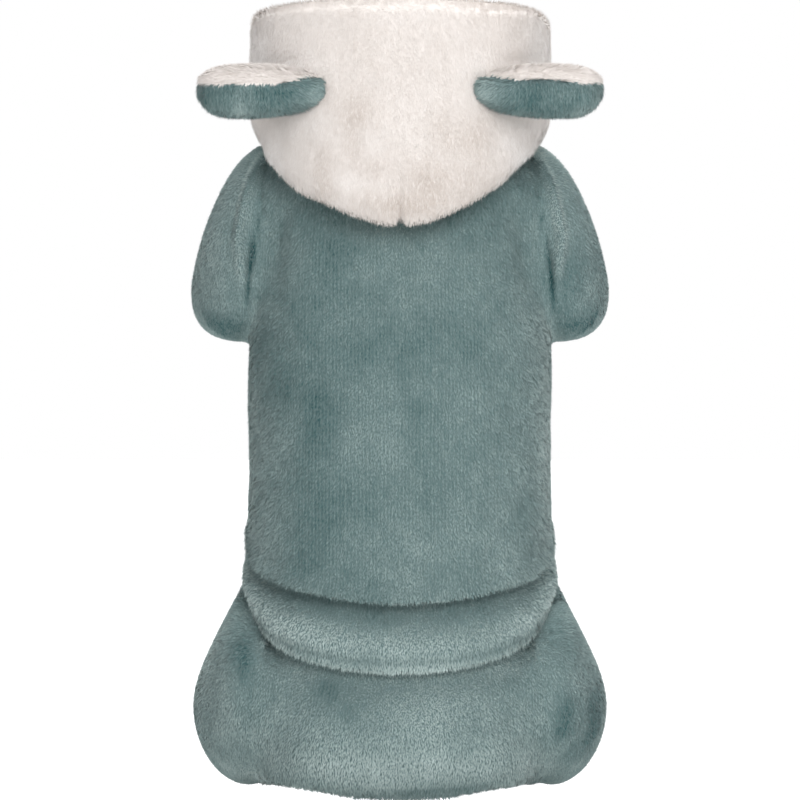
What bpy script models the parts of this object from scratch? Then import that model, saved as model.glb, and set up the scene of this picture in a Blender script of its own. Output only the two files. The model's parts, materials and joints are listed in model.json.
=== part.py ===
"""Pet jumpsuit in plush fleece, with the form that it has when worn: a body tube with four legs, a
waist fold, and a hood with two padded ears. Metres, +Z up. The wearer's back faces -Y, the belly and
the four leg openings face +Y, and the head comes out at the top. The origin is the centre of the neck
seam. Angles round the body and the hood start at the middle of the back."""

import math

import bmesh
import bpy
from mathutils import Vector

MM = 0.001

# Cloth
WALL = 3.0 * MM
SEAM_GAP = 0.3 * MM
LAYER_GAP = 0.9 * MM

# Body tube
BODY_LENGTH = 324 * MM
BODY_HALF_WIDTH = 76 * MM
BACK_DEPTH = 70 * MM
BELLY_DEPTH = 60 * MM
BODY_SQUARENESS = 2.5
SIDE_SEAM_ANGLE = math.radians(100)
TAIL_HEM_LIFT = 6 * MM
TAIL_HEM_POWER = 8

# Lower hems of the back panel and the waist band, as distances up from the tail hem at the middle of
# the back, and how much they rise towards the sides
BACK_HEM_UP = 97 * MM
BACK_HEM_RISE = 31 * MM
BACK_HEM_POWER = 1.75
BACK_HEM_ROLL = 2.0 * MM
BACK_HEM_TURN = 12 * MM
BAND_HEM_UP = 63 * MM
BAND_HEM_RISE = 50 * MM
BAND_HEM_POWER = 2.25
BAND_HEM_ROLL = 1.0 * MM
BAND_HEM_TURN = 8 * MM
TUCK = 13 * MM
BAND_SWELL = 12 * MM
SEAT_SWELL = 20 * MM

# Hood
HOOD_HALF_WIDTH = 75.5 * MM
HOOD_BACK_DEPTH = 86 * MM
HOOD_FRONT_DEPTH = 49 * MM
HOOD_SQUARENESS = 2.6
HOOD_HEIGHT = 74 * MM
THROAT_HEIGHT = 11 * MM
RIM_POWER = 2.2
POUCH_DEPTH = 45 * MM
POUCH_POWER = 2.0

# Ears
EAR_ROOT = 34 * MM
EAR_LENGTH = 68 * MM
EAR_DEPTH = 40 * MM
EAR_THICKNESS = 25 * MM
EAR_BACK = 73 * MM
EAR_HEIGHT = 29.5 * MM
EAR_SEAM_HEIGHT = 30.5 * MM
EAR_SEAM_SLOPE = math.radians(-2.5)
EAR_SQUARENESS = 3.2

# Front sleeves
ARMHOLE_DOWN = 47 * MM
ARMHOLE_HALF_WIDTH = 41 * MM
ARMHOLE_HALF_HEIGHT = 47 * MM
SLEEVE_FORWARD = 88 * MM
SLEEVE_DROP = 26 * MM

# Hind legs
HIP_UP = 56 * MM
HIP_HALF_WIDTH = 46 * MM
HIP_HALF_HEIGHT = 46 * MM
LEG_FORWARD = 92 * MM
LEG_DROP = 12 * MM

# Fineness of the meshes
ROUND_STEPS = 24
HOOD_STEPS = 14
LEG_ROUND_STEPS = 18
LEG_STEPS = 9
CUTTER_STEPS = 60
BACK_STEPS = 14
BAND_STEPS = 8
SEAT_STEPS = 9
BELLY_STEPS = 12
HOOD_CUTTER_STEPS = 64
HOOD_CUTTER_FIRST_ROW = 3
EAR_SEGMENTS = 20
EAR_RINGS = 12

TEAL = (0.159, 0.231, 0.231)
CREAM = (0.815, 0.768, 0.730)
PLUSH_ROUGHNESS = 0.95

# Body sections. Columns: down (share of BODY_LENGTH), width (of BODY_HALF_WIDTH), back (of
# BACK_DEPTH), belly (of BELLY_DEPTH)
BODY_SECTIONS = (
    (0.000, 0.80, 0.71, 0.68),
    (0.055, 0.93, 0.88, 0.88),
    (0.140, 0.985, 0.96, 0.97),
    (0.310, 1.00, 1.00, 1.00),
    (0.490, 0.995, 1.00, 0.98),
    (0.660, 1.00, 1.01, 0.95),
    (0.770, 1.00, 1.03, 0.92),
    (0.880, 1.01, 1.10, 0.90),
    (0.940, 0.97, 1.07, 0.86),
    (0.980, 0.91, 0.97, 0.78),
    (1.000, 0.79, 0.82, 0.66),
)

# Hood profile from the neck seam, under the pouch, round its fold and up to the rim. Columns: out
# (share of the way from the neck ring to the hood's outer wall), drop (of the pouch's depth), rise
# (of the rim's height)
HOOD_PROFILE = (
    (0.00, 0.00, 0.00),
    (0.14, 0.02, 0.00),
    (0.45, 0.50, 0.03),
    (0.68, 0.88, 0.06),
    (0.86, 1.00, 0.10),
    (0.96, 0.93, 0.14),
    (1.01, 0.75, 0.18),
    (1.03, 0.45, 0.23),
    (1.02, 0.15, 0.30),
    (1.00, 0.00, 0.42),
    (1.00, 0.00, 0.58),
    (1.00, 0.00, 0.78),
    (0.99, 0.00, 0.93),
    (0.94, 0.00, 1.00),
)

# Leg sections from inside the body to the cuff. Columns: side (share of BODY_HALF_WIDTH), forward
# (of the leg's forward length), drop (of the leg's drop), turn (degrees, 0 sideways, 90 forward),
# width and height (of the half sizes at the body)
SLEEVE_SECTIONS = (
    (0.66, -0.07, 0.00, 20, 0.88, 0.86),
    (0.895, 0.00, 0.02, 22, 0.975, 1.00),
    (1.010, 0.09, 0.30, 38, 0.82, 0.92),
    (1.058, 0.27, 0.80, 62, 0.66, 0.62),
    (1.05, 0.57, 0.95, 84, 0.60, 0.52),
    (1.04, 0.88, 1.00, 90, 0.55, 0.49),
    (1.04, 1.00, 1.00, 90, 0.50, 0.445),
)
LEG_SECTIONS = (
    (0.605, -0.05, 0.00, 15, 0.78, 0.80),
    (0.868, -0.04, 0.00, 18, 0.95, 0.95),
    (0.98, 0.11, 0.30, 36, 0.80, 0.99),
    (0.993, 0.39, 0.85, 62, 0.70, 0.85),
    (0.928, 0.65, 1.00, 85, 0.62, 0.66),
    (0.908, 0.90, 1.00, 90, 0.54, 0.56),
    (0.908, 1.00, 1.00, 90, 0.48, 0.50),
)

# Folds of the back panel beside the armholes. Columns: angle (degrees), down (share of BODY_LENGTH),
# half width (degrees), half length (share of BODY_LENGTH), height (share of WALL, a groove if
# negative)
BACK_FOLDS = (
    (62, 0.13, 7, 0.09, 0.6),
    (51, 0.15, 6, 0.08, -0.7),
    (-62, 0.13, 7, 0.09, 0.6),
    (-51, 0.16, 6, 0.08, -0.7),
)


def smooth_step(share):
    """0 below 0, 1 above 1, and an even S between them."""
    held = min(max(share, 0.0), 1.0)
    return held * held * (3 - 2 * held)


def curve_through(values, position):
    """The value at a position along evenly spaced values, on a smooth curve through them."""
    last = len(values) - 1
    first = min(int(position), last - 1)
    t = position - first
    start = values[first]
    end = values[first + 1]
    before = values[first - 1] if first else 2 * start - end
    after = values[first + 2] if first + 2 <= last else 2 * end - start
    start_slope = (end - before) / 2
    end_slope = (after - start) / 2
    rest = 2 * (start - end) + start_slope + end_slope
    bend = 3 * (end - start) - 2 * start_slope - end_slope
    return start + t * (start_slope + t * (bend + t * rest))


def row_at(rows, position):
    """All columns of a table at a position counted in rows."""
    return [curve_through(column, position) for column in zip(*rows)]


def section_at(share):
    """The width, back and belly shares of the body at a share of its length."""
    downs = [row[0] for row in BODY_SECTIONS]
    held = min(max(share, downs[0]), downs[-1])
    first = max(i for i in range(len(downs) - 1) if downs[i] <= held)
    position = first + (held - downs[first]) / (downs[first + 1] - downs[first])
    return row_at(BODY_SECTIONS, position)[1:]


def round_section(angle, squareness):
    """The shares across and along of a rounded square of half size 1, seen at an angle."""
    across = math.sin(angle)
    along = math.cos(angle)
    reach = (abs(across) ** squareness + abs(along) ** squareness) ** (-1 / squareness)
    return across * reach, along * reach


def blunt(value, squareness):
    """A coordinate of a round form moved towards a blunter one."""
    return math.copysign(abs(value) ** (2 / squareness), value)


def body_point(angle, down, out=0.0):
    """A point on the body tube's outer surface, or `out` metres outside it."""
    share = down / BODY_LENGTH
    width, back, belly = section_at(share)
    across, along = round_section(angle, BODY_SQUARENESS)
    depth = BACK_DEPTH * back if along > 0 else BELLY_DEPTH * belly
    lift = TAIL_HEM_LIFT * math.sin(angle) ** 2 * max(share, 0.0) ** TAIL_HEM_POWER
    return Vector(
        ((BODY_HALF_WIDTH * width + out) * across, -(depth + out) * along, lift - down)
    )


def back_hem(angle):
    return BODY_LENGTH - BACK_HEM_UP - BACK_HEM_RISE * (abs(angle) / (math.pi / 2)) ** BACK_HEM_POWER


def band_hem(angle):
    return BODY_LENGTH - BAND_HEM_UP - BAND_HEM_RISE * (abs(angle) / (math.pi / 2)) ** BAND_HEM_POWER


def tail_hem(angle):
    return BODY_LENGTH


def belly_out(angle, down):
    return 0.0


def back_out(angle, down):
    """The back panel follows the body, with folds by the armholes and a hem that stands out."""
    roll = smooth_step((down - back_hem(angle) + BACK_HEM_TURN) / BACK_HEM_TURN)
    out = BACK_HEM_ROLL * roll
    for centre, fold_down, half_width, half_length, height in BACK_FOLDS:
        across = (math.degrees(angle) - centre) / half_width
        along = (down / BODY_LENGTH - fold_down) / half_length
        out += height * WALL * math.exp(-across * across - along * along)
    return out


def band_out(angle, down):
    """The waist band starts under the back panel and swells out below its hem."""
    past_hem = down - back_hem(angle) - SEAM_GAP
    tucked = -(WALL + LAYER_GAP) * (1 - smooth_step(past_hem / BAND_SWELL))
    turn = smooth_step((down - band_hem(angle) + BAND_HEM_TURN) / BAND_HEM_TURN)
    return tucked - BAND_HEM_ROLL * turn


def seat_out(angle, down):
    """The seat starts under the waist band and swells out below its hem."""
    hem = band_hem(angle)
    under = band_out(angle, min(down, hem)) - WALL - LAYER_GAP
    return under * (1 - smooth_step((down - hem - SEAM_GAP) / SEAT_SWELL))


def rim_height(angle):
    lowered = (abs(angle) / math.pi) ** RIM_POWER
    return THROAT_HEIGHT + (HOOD_HEIGHT - THROAT_HEIGHT) * (1 - lowered)


def pouch_drop(angle):
    """How far the pouch hangs below the neck seam."""
    if abs(angle) >= math.pi / 2:
        return 0.0
    across, _ = round_section(angle, HOOD_SQUARENESS)
    return POUCH_DEPTH * (1 - abs(across) ** POUCH_POWER)


def hood_point(angle, position, out=0.0):
    """A point on the hood's outer surface at a position counted in rows of its profile."""
    reach, drop, rise = row_at(HOOD_PROFILE, position)
    neck = body_point(angle, 0.0)
    across, along = round_section(angle, HOOD_SQUARENESS)
    depth = HOOD_BACK_DEPTH if along > 0 else HOOD_FRONT_DEPTH
    wall = Vector(((HOOD_HALF_WIDTH + out) * across, -(depth + out) * along, 0.0))
    point = neck.lerp(wall, reach)
    point.z = rise * rim_height(angle) - drop * pouch_drop(angle)
    return point


def hood_inside(angle, position):
    """The point on the hood's inner surface behind a point on its outer one."""
    here = hood_point(angle, position)
    step = 0.01
    last = len(HOOD_PROFILE) - 1
    along = hood_point(angle, min(position + step, last))
    along -= hood_point(angle, max(position - step, 0))
    around = hood_point(angle + step, position) - hood_point(angle - step, position)
    inwards = along.cross(around).normalized()
    return here + WALL * inwards


def leg_ring(leg, side, position, inset=0.0):
    """One ring of a right leg's outer surface, or `inset` metres inside it, mirrored for a left
    one."""
    out, forward, drop, turn, width, height = row_at(leg["sections"], position)
    yaw = math.radians(turn)
    level = Vector((-math.sin(yaw), math.cos(yaw), 0.0))
    centre = Vector(
        (
            BODY_HALF_WIDTH * out,
            leg["forward"] * forward,
            -leg["down"] - leg["drop"] * drop,
        )
    )
    half_width = leg["half_width"] * width - inset
    half_height = leg["half_height"] * height - inset
    ring = []
    for step in range(LEG_ROUND_STEPS):
        angle = math.tau * step / LEG_ROUND_STEPS
        point = centre + level * (half_width * math.cos(angle))
        point.z += half_height * math.sin(angle)
        point.x *= side
        ring.append(point)
    return ring


def new_object(name, mesh_data, material, collection):
    """A mesh object from a bmesh, with its faces turned to a smooth outside."""
    mesh = bpy.data.meshes.new(name)
    mesh_data.to_mesh(mesh)
    mesh_data.free()
    mesh.shade_smooth()
    if material:
        mesh.materials.append(material)
    made = bpy.data.objects.new(name, mesh)
    collection.objects.link(made)
    return made


def grid_mesh(rows, closed):
    """A surface through rows of points, whose rows are rings when `closed`."""
    surface = bmesh.new()
    lines = [[surface.verts.new(point) for point in row] for row in rows]
    count = len(lines[0])
    for upper, lower in zip(lines, lines[1:]):
        for i in range(count if closed else count - 1):
            j = (i + 1) % count
            surface.faces.new((upper[i], lower[i], lower[j], upper[j]))
    return surface, lines


def cloth_between(name, outer_rows, inner_rows, closed, material):
    """Cloth between the rows of its outer and its inner surface."""
    surface, outer = grid_mesh(outer_rows, closed)
    inner = [[surface.verts.new(point) for point in row] for row in inner_rows]
    count = len(outer[0])
    spans = count if closed else count - 1
    for upper, lower in zip(inner, inner[1:]):
        for i in range(spans):
            j = (i + 1) % count
            surface.faces.new((upper[j], lower[j], lower[i], upper[i]))
    for outside, inside in ((outer[0], inner[0]), (outer[-1], inner[-1])):
        for i in range(spans):
            j = (i + 1) % count
            surface.faces.new((outside[i], outside[j], inside[j], inside[i]))
    if not closed:
        for side in (0, -1):
            for row in range(len(outer) - 1):
                edge = (outer[row][side], outer[row + 1][side])
                surface.faces.new((*edge, inner[row + 1][side], inner[row][side]))
    bmesh.ops.recalc_face_normals(surface, faces=surface.faces)
    return new_object(name, surface, material, GARMENT)


def closed_loft(name, rings):
    """A hidden solid through rings, for cutting other pieces."""
    surface, lines = grid_mesh(rings, True)
    for line in (lines[0], lines[-1]):
        middle = surface.verts.new(sum((vert.co for vert in line), Vector()) / len(line))
        for first, second in zip(line, line[1:] + line[:1]):
            surface.faces.new((first, second, middle))
    bmesh.ops.recalc_face_normals(surface, faces=surface.faces)
    made = new_object(name, surface, None, CUTTERS)
    made.hide_render = True
    made.display_type = "WIRE"
    return made


def cut(target, cutter):
    """Takes the cutter's shape out of the target."""
    difference = target.modifiers.new(cutter.name, "BOOLEAN")
    difference.operation = "DIFFERENCE"
    difference.solver = "EXACT"
    difference.object = cutter


def plush(name, colour):
    material = bpy.data.materials.new(name)
    material.use_nodes = True
    shader = material.node_tree.nodes["Principled BSDF"]
    shader.inputs["Base Color"].default_value = (*colour, 1.0)
    shader.inputs["Roughness"].default_value = PLUSH_ROUGHNESS
    shader.inputs["Metallic"].default_value = 0.0
    return material


def body_panel(name, angles, tops, bottoms, outs, steps, material):
    """Cloth over a part of the body tube, between two edge lines."""
    start, end = angles
    outer = []
    inner = []
    for step in range(steps + 1):
        outer.append([])
        inner.append([])
        for turn in range(ROUND_STEPS + 1):
            angle = start + (end - start) * turn / ROUND_STEPS
            top = tops(angle)
            down = top + (bottoms(angle) - top) * step / steps
            out = outs(angle, down)
            outer[-1].append(body_point(angle, down, out))
            inner[-1].append(body_point(angle, down, out - WALL))
    return cloth_between(name, outer, inner, False, material)


def build_body(material):
    """The four pieces of the body tube."""
    seam = SIDE_SEAM_ANGLE - SEAM_GAP / 2 / BODY_HALF_WIDTH
    back_angles = (-seam, seam)
    belly = SIDE_SEAM_ANGLE + SEAM_GAP / 2 / BODY_HALF_WIDTH
    belly_angles = (belly, math.tau - belly)
    panels = (
        ("back_panel", back_angles, lambda a: SEAM_GAP, back_hem, back_out, BACK_STEPS),
        ("waist_band", back_angles, lambda a: back_hem(a) - TUCK, band_hem, band_out, BAND_STEPS),
        ("seat_panel", back_angles, lambda a: band_hem(a) - TUCK, tail_hem, seat_out, SEAT_STEPS),
        ("belly_panel", belly_angles, lambda a: SEAM_GAP, tail_hem, belly_out, BELLY_STEPS),
    )
    return {
        name: body_panel(name, angles, tops, bottoms, outs, steps, material)
        for name, angles, tops, bottoms, outs, steps in panels
    }


def build_hood(material):
    """The two halves of the hood, which meet at the centre seam and under the throat."""
    seam = SEAM_GAP / 2 / HOOD_HALF_WIDTH
    positions = len(HOOD_PROFILE)
    for side, name in ((-1, "hood_left"), (1, "hood_right")):
        span = (math.pi - 2 * seam) / HOOD_STEPS
        angles = [side * (seam + span * turn) for turn in range(HOOD_STEPS + 1)]
        outer = [[hood_point(a, position) for a in angles] for position in range(positions)]
        inner = [[hood_inside(a, position) for a in angles] for position in range(positions)]
        for outer_row, inner_row in zip(outer, inner):
            inner_row[0].x = outer_row[0].x
            inner_row[-1].x = outer_row[-1].x
        cloth_between(name, outer, inner, False, material)


def hood_cutter():
    """The hood's outer shape, one seam gap larger, from its fold upwards."""
    rings = []
    steps = HOOD_CUTTER_STEPS
    for position in range(HOOD_CUTTER_FIRST_ROW, len(HOOD_PROFILE)):
        angles = [math.tau * turn / steps - math.pi for turn in range(steps)]
        rings.append([hood_point(angle, position, SEAM_GAP) for angle in angles])
    return closed_loft("hood_outside", rings)


def build_ear(side, top_material, under_material, hood_shape):
    """A padded lobe, split along its seam into a top and an under half and seated on the hood."""
    names = {-1: "left", 1: "right"}
    seam_normal = Vector((side * math.sin(EAR_SEAM_SLOPE), 0.0, -math.cos(EAR_SEAM_SLOPE)))
    tip = side * (EAR_ROOT + EAR_LENGTH)
    for half, keep, material in (("top", 1, top_material), ("under", -1, under_material)):
        lobe = bmesh.new()
        bmesh.ops.create_uvsphere(
            lobe, u_segments=EAR_SEGMENTS, v_segments=EAR_RINGS, radius=1.0
        )
        for vert in lobe.verts:
            length, depth, height = (
                blunt(share, EAR_SQUARENESS) for share in (vert.co.z, vert.co.x, vert.co.y)
            )
            vert.co = Vector(
                (
                    side * (EAR_ROOT + EAR_LENGTH / 2 * (1 + length)),
                    -EAR_BACK + EAR_DEPTH / 2 * depth,
                    EAR_HEIGHT + EAR_THICKNESS / 2 * height,
                )
            )
        point = Vector((tip, 0.0, EAR_SEAM_HEIGHT + keep * SEAM_GAP / 2))
        split = bmesh.ops.bisect_plane(
            lobe,
            geom=lobe.verts[:] + lobe.edges[:] + lobe.faces[:],
            plane_co=point,
            plane_no=seam_normal * keep,
            clear_outer=True,
        )
        edges = [item for item in split["geom_cut"] if isinstance(item, bmesh.types.BMEdge)]
        bmesh.ops.contextual_create(lobe, geom=edges)
        bmesh.ops.recalc_face_normals(lobe, faces=lobe.faces)
        ear = new_object(f"ear_{names[side]}_{half}", lobe, material, GARMENT)
        cut(ear, hood_shape)


def outermost(angle, down):
    """How far the outermost layer of the body stands out at a place, a little past its hem too."""
    if abs(angle) > SIDE_SEAM_ANGLE:
        return 0.0
    outs = [seat_out(angle, down)]
    if down < band_hem(angle) + WALL:
        outs.append(band_out(angle, down))
    if down < back_hem(angle) + WALL:
        outs.append(back_out(angle, down))
    return max(outs)


def body_cutter(name, gap):
    """The body's outer shape, one gap larger, with the same corners round it as its panels."""
    seam = SIDE_SEAM_ANGLE
    back_angles = [seam * (2 * i / ROUND_STEPS - 1) for i in range(ROUND_STEPS + 1)]
    front = math.tau - 2 * seam
    belly_angles = [seam + front * i / ROUND_STEPS for i in range(1, ROUND_STEPS)]
    rings = []
    for step in range(CUTTER_STEPS + 1):
        down = BODY_LENGTH * step / CUTTER_STEPS
        ring = [body_point(a, down, outermost(a, down) + gap) for a in back_angles]
        ring += [body_point(a, down, gap) for a in belly_angles]
        rings.append(ring)
    return closed_loft(name, rings)


def build_legs(body, material):
    """Four legs, each ending at the body, with the body panels opened into them."""
    front = {
        "sections": SLEEVE_SECTIONS,
        "forward": SLEEVE_FORWARD,
        "down": ARMHOLE_DOWN,
        "drop": SLEEVE_DROP,
        "half_width": ARMHOLE_HALF_WIDTH,
        "half_height": ARMHOLE_HALF_HEIGHT,
    }
    hind = {
        "sections": LEG_SECTIONS,
        "forward": LEG_FORWARD,
        "down": BODY_LENGTH - HIP_UP,
        "drop": LEG_DROP,
        "half_width": HIP_HALF_WIDTH,
        "half_height": HIP_HALF_HEIGHT,
    }
    for leg, name, gap, panels in (
        (front, "front_sleeve", SEAM_GAP, ("back_panel", "belly_panel")),
        (hind, "hind_leg", LAYER_GAP, ("waist_band", "seat_panel", "belly_panel")),
    ):
        body_shape = body_cutter(f"body_outside_{name}", gap)
        last = len(leg["sections"]) - 1
        positions = [last * step / LEG_STEPS for step in range(LEG_STEPS + 1)]
        for side, side_name in ((-1, "left"), (1, "right")):
            rings = [leg_ring(leg, side, position) for position in positions]
            bores = [leg_ring(leg, side, position, WALL) for position in positions]
            tube = cloth_between(f"{name}_{side_name}", rings, bores, True, material)
            cut(tube, body_shape)
            bore = closed_loft(f"{name}_{side_name}_bore", bores)
            for panel in panels:
                cut(body[panel], bore)


for old in list(bpy.data.objects):
    bpy.data.objects.remove(old)

GARMENT = bpy.data.collections.new("pet jumpsuit")
CUTTERS = bpy.data.collections.new("cutters")
for made_collection in (GARMENT, CUTTERS):
    bpy.context.scene.collection.children.link(made_collection)


def main():
    teal = plush("teal plush", TEAL)
    cream = plush("cream plush", CREAM)
    body = build_body(teal)
    build_hood(cream)
    hood_shape = hood_cutter()
    for side in (-1, 1):
        build_ear(side, cream, teal, hood_shape)
    build_legs(body, teal)


main()
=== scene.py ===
# %% [markdown]
# # A hooded plush jumpsuit for a small dog
# This lesson dresses a plain model of a dog's jumpsuit in plush fleece. The plain model comes first,
# as a fixed frame. Each of its pieces is then replaced by finer cloth, and pile grows on the cloth.

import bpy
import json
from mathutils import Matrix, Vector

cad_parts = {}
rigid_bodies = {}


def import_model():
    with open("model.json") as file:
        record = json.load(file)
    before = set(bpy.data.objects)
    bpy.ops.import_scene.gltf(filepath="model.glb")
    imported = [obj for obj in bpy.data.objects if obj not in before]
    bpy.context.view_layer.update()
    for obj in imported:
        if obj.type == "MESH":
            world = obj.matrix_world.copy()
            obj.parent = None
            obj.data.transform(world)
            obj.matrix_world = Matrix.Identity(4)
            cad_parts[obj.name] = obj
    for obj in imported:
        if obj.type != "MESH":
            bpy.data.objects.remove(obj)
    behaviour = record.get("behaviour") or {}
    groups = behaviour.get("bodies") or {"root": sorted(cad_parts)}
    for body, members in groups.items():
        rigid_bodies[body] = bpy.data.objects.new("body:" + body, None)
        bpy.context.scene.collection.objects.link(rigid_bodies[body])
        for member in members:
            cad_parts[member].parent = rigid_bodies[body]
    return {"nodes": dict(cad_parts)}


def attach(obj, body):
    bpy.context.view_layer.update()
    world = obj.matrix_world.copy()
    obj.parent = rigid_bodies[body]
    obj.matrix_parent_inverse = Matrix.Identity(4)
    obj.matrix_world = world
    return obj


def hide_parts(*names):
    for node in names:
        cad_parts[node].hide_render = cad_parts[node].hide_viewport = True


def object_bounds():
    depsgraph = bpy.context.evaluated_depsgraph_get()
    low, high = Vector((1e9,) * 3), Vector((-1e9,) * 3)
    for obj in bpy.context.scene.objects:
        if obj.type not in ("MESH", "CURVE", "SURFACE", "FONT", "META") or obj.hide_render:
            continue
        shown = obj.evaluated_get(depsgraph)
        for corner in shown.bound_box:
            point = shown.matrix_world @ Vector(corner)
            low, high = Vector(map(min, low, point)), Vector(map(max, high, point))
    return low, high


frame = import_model()
CAD_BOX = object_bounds()
print("nodes:", len(frame["nodes"]), "box:", CAD_BOX)

# %% [markdown]
# ## Tools of the lesson
# bpy is Blender itself, bmesh edits meshes, and mathutils has vectors. Sizes are in metres, so a
# named millimetre keeps them readable.

# %% Modules and the millimetre
import json
import math

import bmesh
import bpy
from mathutils import Vector, noise
from mathutils.bvhtree import BVHTree

MM = 0.001

# %% [markdown]
# ## The sizes of the garment
# The garment is described as a tailor would: a body tube, hems that rise towards the sides, a hood
# with a pouch, and four bent legs. The values are the same as in the plain model, so the cloth lies
# where its solids are.

# %% Sizes of the body
WALL = 3.0 * MM
PILE_STAND = 1.1 * MM
SEAM_GAP = 0.3 * MM
LAYER_GAP = 0.9 * MM
BODY_LENGTH = 324 * MM
BODY_HALF_WIDTH = 76 * MM
BACK_DEPTH = 70 * MM
BELLY_DEPTH = 60 * MM
BODY_SQUARENESS = 2.5
SIDE_SEAM = math.radians(100)
TAIL_HEM_LIFT = 6 * MM
TAIL_HEM_POWER = 8
BACK_HEM = 227 * MM
BACK_HEM_RISE = 31 * MM
BACK_HEM_POWER = 1.75
BAND_HEM = 261 * MM
BAND_HEM_RISE = 50 * MM
BAND_HEM_POWER = 2.25
TUCK = 13 * MM

# Columns: down (share of BODY_LENGTH), width (of BODY_HALF_WIDTH), back (of BACK_DEPTH), belly (of
# BELLY_DEPTH)
BODY_SECTIONS = (
    (0.000, 0.80, 0.71, 0.68),
    (0.055, 0.93, 0.88, 0.88),
    (0.140, 0.985, 0.96, 0.97),
    (0.310, 1.00, 1.00, 1.00),
    (0.490, 0.995, 1.00, 0.98),
    (0.660, 1.00, 1.01, 0.95),
    (0.770, 1.00, 1.03, 0.92),
    (0.880, 1.01, 1.10, 0.90),
    (0.940, 0.97, 1.07, 0.86),
    (0.980, 0.91, 0.97, 0.78),
    (1.000, 0.79, 0.82, 0.66),
)

# %% Sizes of the hood and the ears
HOOD_HALF_WIDTH = 75.5 * MM
HOOD_BACK_DEPTH = 86 * MM
HOOD_FRONT_DEPTH = 49 * MM
HOOD_SQUARENESS = 2.6
HOOD_HEIGHT = 74 * MM
THROAT_HEIGHT = 11 * MM
RIM_POWER = 2.2
POUCH_DEPTH = 45 * MM
POUCH_POWER = 2

# Columns: out (share of the way from the neck ring to the outer wall), drop (of the pouch's depth),
# rise (of the rim's height)
HOOD_PROFILE = (
    (0.00, 0.00, 0.00),
    (0.14, 0.02, 0.00),
    (0.45, 0.50, 0.03),
    (0.68, 0.88, 0.06),
    (0.86, 1.00, 0.10),
    (0.96, 0.93, 0.14),
    (1.01, 0.75, 0.18),
    (1.03, 0.45, 0.23),
    (1.02, 0.15, 0.30),
    (1.00, 0.00, 0.42),
    (1.00, 0.00, 0.58),
    (1.00, 0.00, 0.78),
    (0.99, 0.00, 0.93),
    (0.94, 0.00, 1.00),
)

EAR_ROOT = 34 * MM
EAR_LENGTH = 68 * MM
EAR_BACK = 73 * MM

# %% Sizes of the legs
# Columns: side (share of BODY_HALF_WIDTH), forward (of the leg's forward length), drop (of its drop),
# turn (degrees, 0 sideways, 90 forward), width and height (of the half sizes at the body)
SLEEVE_SECTIONS = (
    (0.66, -0.07, 0.00, 20, 0.88, 0.86),
    (0.895, 0.00, 0.02, 22, 0.975, 1.00),
    (1.010, 0.09, 0.30, 38, 0.82, 0.92),
    (1.058, 0.27, 0.80, 62, 0.66, 0.62),
    (1.05, 0.57, 0.95, 84, 0.60, 0.52),
    (1.04, 0.88, 1.00, 90, 0.55, 0.49),
    (1.04, 1.00, 1.00, 90, 0.50, 0.445),
)
LEG_SECTIONS = (
    (0.605, -0.05, 0.00, 15, 0.78, 0.80),
    (0.868, -0.04, 0.00, 18, 0.95, 0.95),
    (0.98, 0.11, 0.30, 36, 0.80, 0.99),
    (0.993, 0.39, 0.85, 62, 0.70, 0.85),
    (0.928, 0.65, 1.00, 85, 0.62, 0.66),
    (0.908, 0.90, 1.00, 90, 0.54, 0.56),
    (0.908, 1.00, 1.00, 90, 0.48, 0.50),
)
FRONT_LEG = {
    "sections": SLEEVE_SECTIONS,
    "forward": 88 * MM,
    "down": 47 * MM,
    "drop": 26 * MM,
    "half_width": 41 * MM,
    "half_height": 47 * MM,
    "slope": 0.0,
    "under_squareness": 2.5,
    "under_height": 0.95,
}
HIND_LEG = {
    "sections": LEG_SECTIONS,
    "forward": 92 * MM,
    "down": 268 * MM,
    "drop": 12 * MM,
    "half_width": 46 * MM,
    "half_height": 46 * MM,
    "slope": 6 * MM,
    "under_squareness": 2.0,
    "under_height": 1.0,
}

# %% [markdown]
# ## Smooth curves through short tables
# A short table of sections is easier to judge than hundreds of points. A smooth curve through its
# rows gives every point in between. Two more helpers appear all through the lesson: a smooth step
# from nothing to all, and a bump that fades to both sides.

# %% Curves and sections
def smooth_step(share):
    held = min(max(share, 0.0), 1.0)
    return held * held * (3 - 2 * held)


def bump(distance, width):
    return math.exp(-((distance / width) ** 2))


def place_in(values, value):
    """Where a value lies among rising values, counted in rows."""
    held = min(max(value, values[0]), values[-1])
    first = max(i for i in range(len(values) - 1) if values[i] <= held)
    return first + (held - values[first]) / (values[first + 1] - values[first])


def curve_through(values, position):
    last = len(values) - 1
    first = min(int(position), last - 1)
    t = position - first
    start, end = values[first], values[first + 1]
    before = values[first - 1] if first else 2 * start - end
    after = values[first + 2] if first + 2 <= last else 2 * end - start
    start_slope = (end - before) / 2
    end_slope = (after - start) / 2
    rest = 2 * (start - end) + start_slope + end_slope
    bend = 3 * (end - start) - 2 * start_slope - end_slope
    return start + t * (start_slope + t * (bend + t * rest))


def row_at(rows, position):
    return [curve_through(column, position) for column in zip(*rows)]


def section_at(share):
    downs = [row[0] for row in BODY_SECTIONS]
    return row_at(BODY_SECTIONS, place_in(downs, share))[1:]


def round_section(angle, squareness):
    """A point of a rounded square, 0 along the back. A squareness of 2 is a circle."""
    across, along = math.sin(angle), math.cos(angle)
    reach = (abs(across) ** squareness + abs(along) ** squareness) ** (-1 / squareness)
    return across * reach, along * reach


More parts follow.
